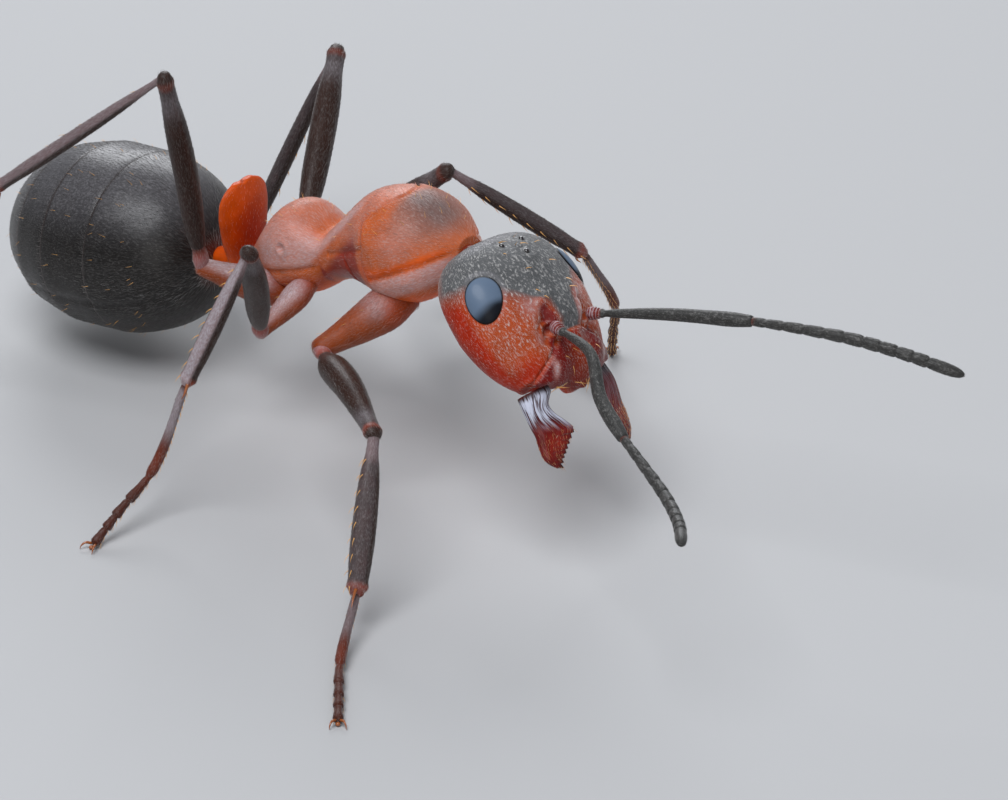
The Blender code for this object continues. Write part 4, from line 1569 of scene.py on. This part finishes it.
# shares of the segment's length and of its greatest radius; a femur begins with its trochanter,
# whose radii are in millimetres
COXA_WIDTHS = ((0, 0.8), (0.22, 1.0), (0.5, 0.86), (0.85, 0.58), (1, 0.5))
TROCHANTER = ((0, 0.075), (0.035, 0.092), (0.07, 0.085), (0.09, 0.074), (0.12, 0.088))
FRONT_BELLY = ((0.22, 1.10), (0.36, 1.22), (0.50, 1.14), (0.72, 0.90))
BELLY = ((0.25, 0.88), (0.50, 1.0), (0.75, 0.92))
KNEE_WIDTHS = ((0.90, 0.70), (0.955, 0.70), (0.975, 0.74), (1, 0.56))
TIBIA_WIDTHS = (
    (0, 0.50), (0.04, 0.50), (0.09, 0.52), (0.24, 0.80), (0.50, 1.0), (0.80, 0.98), (0.93, 0.88),
    (0.97, 0.92), (1, 0.62),
)
COXA_RADIUS = {"1": 0.225, "2": 0.14, "3": 0.19}
TIBIA_SHARE = {"1": 1.06, "2": 0.84, "3": 0.74}  # of the greatest radius that the user sets
FEMUR_BOW = {"1": 0.05, "2": 0.025, "3": 0.025}
MIDDLE_HIP_SHIFT = np.array((-0.18, 0.0, 0.04))


def leg_skins(name):
    """The skins of one leg, each with its segment's name and its grid."""
    hip, troch, knee, ankle, root, tip = leg_joints(name)
    pair = name[-1]
    femur, tibia = sizes().femur / MM, sizes().tibia / MM * TIBIA_SHARE[pair]
    plane = unit(np.cross(knee - troch, ankle - knee))
    if pair == "2":
        hip = hip + TRUNK_TURN @ MIDDLE_HIP_SHIFT
    bow = np.cross(plane, unit(knee - troch)) * FEMUR_BOW[pair]
    if bow[2] < 0:
        bow = -bow
    coxa = limb_skin(
        [hip, (hip + troch) / 2 - (0, 0, 0.015), troch], widened(COXA_WIDTHS, COXA_RADIUS[pair]),
        reference=plane, cap=0.06,
    )
    belly = FRONT_BELLY if pair == "1" else BELLY
    thigh = limb_skin(
        [troch, troch + 0.12 * (knee - troch), (troch + knee) / 2 + bow, knee],
        [*TROCHANTER, *widened(belly + KNEE_WIDTHS, femur)], reference=plane, cap=0.03, flat=0.86,
    )
    shin = limb_skin(
        [knee, knee + 0.06 * (ankle - knee), (knee + ankle) / 2 + bow * 0.3, ankle],
        widened(TIBIA_WIDTHS, tibia), reference=plane, cap=0.03, flat=0.80,
    )
    toes = toes_skin(ankle, root, tip)
    return (
        ("coxa", coxa, (50, 40)), ("femur", thigh, (90, 36)), ("tibia", shin, (90, 36)),
        ("tarsus", toes, (200, 24)),
    )


TOE_SHARES = (0.36, 0.24, 0.18, 0.22)  # of the four toe joints past the basitarsus
TOE_WIDTHS = ((0.0, 0.62), (0.05, 0.72), (0.4, 0.88), (0.82, 1.08), (0.93, 1.05), (0.975, 0.80))


def toes_skin(ankle, root, tip):
    """Basitarsus and four toe joints, each widening to its end."""
    toe = sizes().toe / MM
    span = [np.linalg.norm(root - ankle), np.linalg.norm(tip - root)]
    total = sum(span)
    ends = [0.0, span[0] / total]
    for share in TOE_SHARES:
        ends.append(ends[-1] + share * span[1] / total)
    stations = []
    for number, (near, far) in enumerate(zip(ends, ends[1:])):
        for share, width in TOE_WIDTHS:
            if number == 0:
                width *= 1.12 - 0.10 * share
            stations.append((near + (far - near) * share, toe * width))
    stations.append((1.0, toe * 0.7))
    lift = np.array((0, 0, 0.02))
    return limb_skin([ankle, root, (root + tip) / 2 + lift, tip], stations, cap=0.006)


def leg_marks(name, part):
    """Masks of one segment of a leg, by the share of its length from its root."""
    joints = leg_joints(name)
    first, last = {"coxa": (0, 1), "femur": (1, 2), "tibia": (2, 3), "tarsus": (3, 5)}[part]
    start, end = joints[first], joints[last]
    front_pair = name[-1] == "1"

    def marks(points):
        along = ((points - start) @ (end - start)) / ((end - start) @ (end - start))
        off = points - start - (end - start) * along[:, None]
        dark = glow = silk = 0 * along
        if part == "coxa":
            glow = 0.45 * dome(along - 0.15, 0.25)
            # painted sheen: a silver blotch on the coxa's upper side
            spread = 0.42 * dome(along - 0.34, 0.13) if front_pair else 0.85 * step(along, 0.0, 0.3)
            silk = step(off[:, 2], 0.0, 0.12) * spread
        elif part == "femur":
            collar = 0.75 if front_pair else 0.35
            dark = step(along, 0.08, 0.13) * (1 - collar * dome(along - 0.965, 0.020))
            glow = 0.5 * step(0.11 - along, 0, 0.04)
            # painted sheen near the knee and at the root
            silk = 0.35 * dome(along - 0.88, 0.07) + 0.6 * dome(along - 0.03, 0.05)
        elif part == "tibia":
            dark = 1 - 0.8 * step(along, 0.92, 0.98)
            glow = 0.25 * step(along, 0.9, 1.0)
            # painted sheen: a silver stripe on the side of the tibia that faces the light from above,
            # strongest on the middle right leg
            upper = step(unit(off) @ unit(np.array((0.2, -0.5, 0.8))), 0.25, 0.60)
            shine = {"leg_r2": 1.3, "leg_r3": 0.5}.get(name, 0.2)
            stripe = shine * upper * step(along, 0.02, 0.1)
            silk = np.maximum(0.55 * step(0.26 - along, 0.0, 0.16), stripe)
            dark = dark * (1 - 0.4 * np.clip(silk, 0, 1))
        else:
            dark = 0.82 - 0.22 * dome(along - 0.44, 0.12)
            glow = 0.06 + 0 * along
            # painted sheen near the root of the basitarsus, stronger on the middle right leg
            pale = 0.85 if name == "leg_r2" else 0.45
            silk = pale * step(0.38 - along, 0.0, 0.15) * step(along, 0.02, 0.06)
        return {"dark": dark, "glow": glow, "deep": 0 * along, "silk": silk}

    return marks


def curved_cone(path, radius):
    return sheet(12, 10, limb_skin(path, widened(((0, 1.0), (0.5, 0.65), (1, 0.12)), radius), cap=0.05))


def claws(name):
    """A pair of hooked claws with the pad between them, on the floor."""
    *_, root, tip = leg_joints(name)
    ahead = tip - root
    ahead[2] = 0
    ahead = unit(ahead)
    across = np.cross((0, 0, 1), ahead)
    parts = []
    for hand in (-1, 1):
        base = tip + ahead * 0.01 + across * hand * 0.025
        hook = base + ahead * 0.055 + across * hand * 0.035 + (0, 0, 0.018)
        bend = base + ahead * 0.10 + across * hand * 0.055 - (0, 0, 0.010)
        low = base + ahead * 0.115 + across * hand * 0.058
        low[2] = 0.006
        parts.append(curved_cone([base, hook, bend, low], 0.017))
    pad = tip + ahead * 0.045
    pad[2] = 0.024
    parts.append(ball(pad, 0.026, (1, 1, 0.8), 14))
    foot = joined(*parts)
    for vertex in foot.verts:
        vertex.co.z = max(0.0, vertex.co.z)
    return foot


def spur(name):
    """Spur under the end of the tibia; the front one is the curved feeler comb."""
    _, _, knee, ankle, root, _ = leg_joints(name)
    down = unit(ankle - knee)
    ahead = unit(root - ankle)
    inner = unit(ahead - down * (ahead @ down) + np.array((0, 0, -0.2)))
    size = 0.26 if name.endswith("1") else 0.17
    base = ankle - down * 0.06 + inner * 0.06
    path = [base, base + ahead * size * 0.5 + inner * 0.035, base + ahead * size + inner * 0.005]
    return curved_cone(path, 0.020)


class AntLegs(bpy.types.Operator):
    """Six legs, each of coxa, femur, tibia and tarsus"""

    bl_idname = "ant.legs"
    bl_label = "Legs"

    def execute(self, context):
        root = shell_material(
            "coxa shell", coxa_palette(), silver=0.07, lanes=(40.0, 70.0), relief=1.6e-6,
            sheen=0.04, varnish=0.02,
        )
        limb = shell_material(
            "leg shell", leg_palette(), silver=0.07, lanes=(60.0, 50.0), relief=1.2e-6, sheen=0.02,
            varnish=0.03, roughness=0.36, rough_dark=0.36, specular=0.18, sheen_share=0.55,
        )
        for name in LEGS:
            for part, skin, grid in leg_skins(name):
                look, slot = (root, "red_shell") if part == "coxa" else (limb, "leg_shell")
                whole = name + "_" + part
                finished(whole + "_shell", sheet(*grid, skin), look, slot, [whole], leg_marks(name, part))
        return {"FINISHED"}


class AntClaws(bpy.types.Operator):
    """Claws, pads and tibial spurs of the six feet"""

    bl_idname = "ant.claws"
    bl_label = "Claws and spurs"

    def execute(self, context):
        look = plain_material("claw", (0.30, 0.085, 0.02), 0.25, 0.4)
        for name in LEGS:
            finished(name + "_claws", claws(name), look, "leg_shell")
            finished(name + "_spur", spur(name), look, "leg_shell")
        return {"FINISHED"}


# ---------------------------------------------------------------- down and bristles


def patch(skin, places, marks, long, width, lift, **more):
    """One patch of a coat: a skin, roots on it, its markings, and its hairs' measures.

    More may give comb, which is the hairs' lie at an array of points, and stray.
    """
    return {
        "skin": skin, "roots": places, "marks": marks, "length": long, "width": width,
        "lift": lift, **more,
    }


def face_comb(points):
    """Lie of the down on the head: forward, drawn a little to the midline of the face."""
    local = in_head(points)
    lie = np.stack([np.ones(len(local)), -0.35 * local[:, 1], 0.1 - 0.3 * local[:, 2]], -1)
    return lie @ HEAD_MATRIX.T


def thinned(marks, most):
    """Share of the hairs that stays where the skin is clear: fewer on deep red and glow."""
    return 1.0 - most * np.maximum(step(marks["deep"], 0.2, 0.7), step(marks["glow"], 0.3, 0.8))


def head_keep(s, a, points):
    """Share of the head's down that stays: none on the eyes, the sockets and the ocelli."""
    local = in_head(points)
    x, y, z = local.T
    socket = np.hypot(x - SOCKET_AT[0], np.abs(y) - SOCKET_AT[1]) + (z < 0)
    ocellus = np.min([np.hypot(x - at[0], y - at[1]) for at in OCELLI], axis=0)
    bare = (eye_reach(local) < 1.04) | (socket < 0.10) | (ocellus < 0.05)
    return np.where(bare, 0.0, thinned(head_marks(points), 0.80))


def trunk_keep(s, a, points):
    return thinned(trunk_marks(points), 0.75)


class AntDown(bpy.types.Operator):
    """Lying silver down over the whole body"""

    bl_idname = "ant.down"
    bl_label = "Down"

    def execute(self, context):
        size = sizes()
        hair, width, gap = size.down_length / MM, size.down_width / MM, size.down_gap / MM

        def grown(skin, seed, marks, sparse, long, lift, fine=1.0, keep=None, **more):
            """Down sparser and longer than that of the head by these shares."""
            places = roots(skin, gap * sparse, seed, keep)
            return patch(skin, places, marks, hair * long, width * fine, lift, **more)

        def look(name, share, palette):
            return hair_material(name, paint("down"), share, palette)

        patches = [grown(head_skin, 1, head_marks, 1.0, 1.0, 0.14, keep=head_keep, comb=face_comb)]
        coat("down_head", patches, look("head down", 0.34, shell_palette()), 11)
        patches = [
            grown(skin, 20 + i, trunk_marks, 1.3, 1.3, 0.20, keep=trunk_keep)
            for i, (_, skin) in enumerate(trunk_stretches())
        ]
        patches.append(grown(scale_skin, 24, petiole_marks, 2.6, 1.0, 0.25))
        coat("down_trunk", patches, look("trunk down", 0.60, trunk_palette()), 12)
        patches = [
            grown(gaster_skin(n), 30 + n, gaster_marks, 1.6, 1.7, 0.16)
            for n in range(1, len(GASTER_PLATES))
        ]
        coat("down_gaster", patches, look("gaster down", 0.40, gaster_palette()), 13)
        patches = [
            grown(leg_skins(name)[0][1], 70 + i, leg_marks(name, "coxa"), 1.6, 1.3, 0.25)
            for i, name in enumerate(LEGS)
        ]
        coat("down_coxae", patches, look("coxa down", 0.84, coxa_palette()), 75)
        patches = []
        for i, side in enumerate("rl"):
            patches.append(grown(scape_skin(side), 40 + i, scape_marks(side), 1.0, 0.7, 0.30, 0.8))
            patches.append(grown(whip_skin(side), 42 + i, whip_marks(side), 0.8, 0.7, 0.45, 0.8))
        coat("down_feelers", patches, look("feeler down", 0.40, feeler_palette()), 14)
        limb = look("limb down", 0.38, leg_palette())
        for i, name in enumerate(LEGS):
            patches = []
            for j, (part, skin, _) in enumerate(leg_skins(name)):
                long = 1.0 if part == "tarsus" else 1.3
                if part != "coxa":
                    patches.append(grown(skin, 50 + 4 * i + j, leg_marks(name, part), 1.6, long, 0.30))
            coat("down_" + name, patches, limb, 60 + i)
        return {"FINISHED"}


def rows_along(first, last, count, angles):
    """Roots in rows along a limb, one row at each angle round it."""
    along = np.array([first + (last - first) * i / (count - 1) for i in range(count)])
    return np.tile(along, len(angles)), np.repeat(angles, count)


# spots (x, y) of the face with a bristle on either side of the midline
BROW = ((-0.34, 0.20), (-0.10, 0.26), (0.00, 0.22), (-0.62, 0.05), (-0.58, 0.27), (-0.72, 0.12))
CHEEK = ((0.58, 0.12), (0.62, 0.26), (0.74, 0.18))
LEG_BRISTLES = {  # roots: first, last, count, angles; then length, width and lift
    "coxa": ((0.25, 0.85, 4, (0.5, -0.5)), (0.10, 0.006, 0.9)),
    "tibia": ((0.18, 0.94, 9, (0.42, -0.42)), (0.115, 0.012, 0.62)),
    "tarsus": ((0.05, 0.97, 26, (0.9, -0.9, 0.35, -0.35)), (0.075, 0.009, 0.50)),
}


def forward(points):
    return np.tile(HEAD_MATRIX[:, 0], (len(points), 1))


def on_both_sides(spots):
    return [(x, hand * y) for hand in (-1, 1) for x, y in spots]


def on_blade(s, a, points):
    return (step(s, 0.40, 0.55) * (s < 0.97)) * np.where(np.cos(a) < 0.93, 1.0, 0.2)


def on_top(s, a, points):
    return (-np.cos(a) > 0.45) * (np.abs(s - 0.5) < 0.42) * 0.7


def behind_edge(s, a, points):
    return (s > 0.45) * (s < 0.92) * 0.45


class AntBristles(bpy.types.Operator):
    """Standing amber bristles of the face, jaws, body and legs"""

    bl_idname = "ant.bristles"
    bl_label = "Bristles"

    def execute(self, context):
        amber = hair_material("bristle", paint("amber"), 0.05, shell_palette(), 0.3, on_dark=0.0)
        fringe = [(0.895 - 0.20 * abs(y) ** 1.6, y) for y in np.linspace(-0.38, 0.38, 16)]
        patches = [
            patch(head_skin, face_places(spots), head_marks, *measures, comb=forward, stray=0.25)
            for spots, measures in (
                (fringe, (0.16, 0.012, 0.10)),
                (on_both_sides(BROW), (0.115, 0.013, 1.05)),
                (on_both_sides(CHEEK), (0.10, 0.0085, 0.8)),
            )
        ]
        coat("bristles_head", patches, amber, 80, bends=2)
        patches = []
        for i, side in enumerate("rl"):
            skin = jaw_skin(side)
            places = roots(skin, 0.034, 90 + i, on_blade)
            patches.append(patch(skin, places, jaw_marks(side), 0.055, 0.0055, 0.20, stray=0.12))
        golden = plain_material("jaw bristle", (0.48, 0.22, 0.10), 0.3)
        coat("bristles_jaws", patches, golden, 82, bends=1)
        patches = []
        for i, (_, skin) in enumerate(trunk_stretches()):
            places = roots(skin, 0.17, 100 + i, on_top)
            patches.append(patch(skin, places, trunk_marks, 0.10, 0.006, 1.1, stray=0.5))
        for n in range(1, len(GASTER_PLATES)):
            skin = gaster_skin(n)
            places = roots(skin, 0.17, 110 + n, behind_edge)
            patches.append(patch(skin, places, gaster_marks, 0.10, 0.005, 0.75, stray=0.3))
        coat("bristles_body", patches, amber, 84, bends=2)
        patches = []
        for name in LEGS:
            for part, skin, _ in leg_skins(name):
                if part in LEG_BRISTLES:
                    rows, measures = LEG_BRISTLES[part]
                    marks = leg_marks(name, part)
                    patches.append(patch(skin, rows_along(*rows), marks, *measures, stray=0.12))
        coat("bristles_legs", patches, amber, 86, bends=2)
        return {"FINISHED"}


# ---------------------------------------------------------------- stage

VIEW_HEADING, VIEW_CLIMB = 40.0, 30.0  # where the camera stands, round and above
VIEW_AWAY = 85.0
HEAD_IN_VIEW = np.array((0.776, -0.054, -0.401))  # from the trunk's front: what the view is set by
VIEW_OFF = (-0.208, -0.865)  # middle of the view from there, right and up
LENS_FOR_WIDTH = 8.4325  # focal length for each unit of the sensor's width


# name, place from the middle of the head, size, power, colour
LAMPS = (
    ("key", (0.0, -0.028, 0.072), 0.055, 0.054, (0.95, 0.97, 1.0)),
    ("rim", (-0.05, 0.055, 0.035), 0.05, 0.036, (0.95, 0.97, 1.0)),
    ("fill", (0.055, -0.06, 0.03), 0.06, 0.012, (1.0, 0.97, 0.94)),
)
SKY = (0.80, 0.86, 0.95, 1.0)
SKY_STRENGTH = 0.30
FLOOR_SIZE = 0.8


class AntStage(bpy.types.Operator):
    """Pale floor, soft lights and the camera"""

    bl_idname = "ant.stage"
    bl_label = "Stage"

    def execute(self, context):
        self.lay_floor()
        self.set_camera(context.scene)
        self.set_lights(context.scene)
        return {"FINISHED"}

    def lay_floor(self):
        bm = bmesh.new()
        bmesh.ops.create_grid(bm, x_segments=1, y_segments=1, size=FLOOR_SIZE)
        mesh = bpy.data.meshes.new("floor")
        bm.to_mesh(mesh)
        bm.free()
        mesh.materials.append(plain_material("floor", paint("floor"), 0.7))
        put("floor", mesh)

    def set_camera(self, scene):
        around, climb = math.radians(VIEW_HEADING), math.radians(VIEW_CLIMB)
        right = np.array((math.cos(around), math.sin(around), 0))
        level = math.cos(climb)
        back = np.array((math.sin(around) * level, -math.cos(around) * level, math.sin(climb)))
        up = np.cross(back, right)
        target = FRONT_OF_TRUNK + HEAD_IN_VIEW + VIEW_OFF[0] * right + VIEW_OFF[1] * up
        lens = bpy.data.cameras.new("camera")
        lens.sensor_width = 36.0
        lens.lens = LENS_FOR_WIDTH * lens.sensor_width
        lens.clip_start, lens.clip_end = 0.002, 3.0
        place = (target + back * VIEW_AWAY) * MM
        scene.camera = put("camera", lens)
        scene.camera.matrix_world = Matrix(
            [[right[i], up[i], back[i], place[i]] for i in range(3)] + [[0, 0, 0, 1]]
        )

    def set_lights(self, scene):
        middle = Vector(HEAD_CENTRE * MM)
        for name, offset, size, power, tint in LAMPS:
            lamp = bpy.data.lights.new(name, "AREA")
            lamp.shape = "DISK"
            lamp.size = size
            lamp.energy = power
            lamp.color = tint
            light = put(name, lamp)
            light.location = middle + Vector(offset)
            light.rotation_euler = Vector(offset).to_track_quat("Z", "Y").to_euler()
        scene.world = bpy.data.worlds.new("soft room")
        scene.world.use_nodes = True
        sky = scene.world.node_tree.nodes["Background"]
        sky.inputs["Color"].default_value = SKY
        sky.inputs["Strength"].default_value = SKY_STRENGTH
        scene.view_settings.view_transform = "Standard"


# ---------------------------------------------------------------- panel and registration

OPERATORS = (
    AntHead, AntOcelli, AntEyes, AntJaws, AntMouth, AntFeelers, AntTrunk, AntPetiole, AntGaster,
    AntLegs, AntClaws, AntDown, AntBristles, AntStage,
)


class AntPanel(bpy.types.Panel):
    """Sizes, colours and pieces of the ant"""

    bl_idname = "VIEW3D_PT_ant"
    bl_label = "Red wood ant"
    bl_space_type = "VIEW_3D"
    bl_region_type = "UI"
    bl_category = "Ant"

    def draw(self, context):
        for chosen in (context.scene.ant_colours, context.scene.ant_sizes):
            for key in type(chosen).__annotations__:
                self.layout.prop(chosen, key)
        for operator in OPERATORS:
            self.layout.operator(operator.bl_idname)


CLASSES = (AntColours, AntSizes, *OPERATORS, AntPanel)


def register():
    for entry in CLASSES:
        bpy.utils.register_class(entry)
    bpy.types.Scene.ant_colours = PointerProperty(type=AntColours)
    bpy.types.Scene.ant_sizes = PointerProperty(type=AntSizes)


def unregister():
    del bpy.types.Scene.ant_sizes
    del bpy.types.Scene.ant_colours
    for entry in reversed(CLASSES):
        bpy.utils.unregister_class(entry)


def main():
    register()
    for operator in OPERATORS:
        family, name = operator.bl_idname.split(".")
        getattr(getattr(bpy.ops, family), name)()


if __name__ == "__main__":
    main()
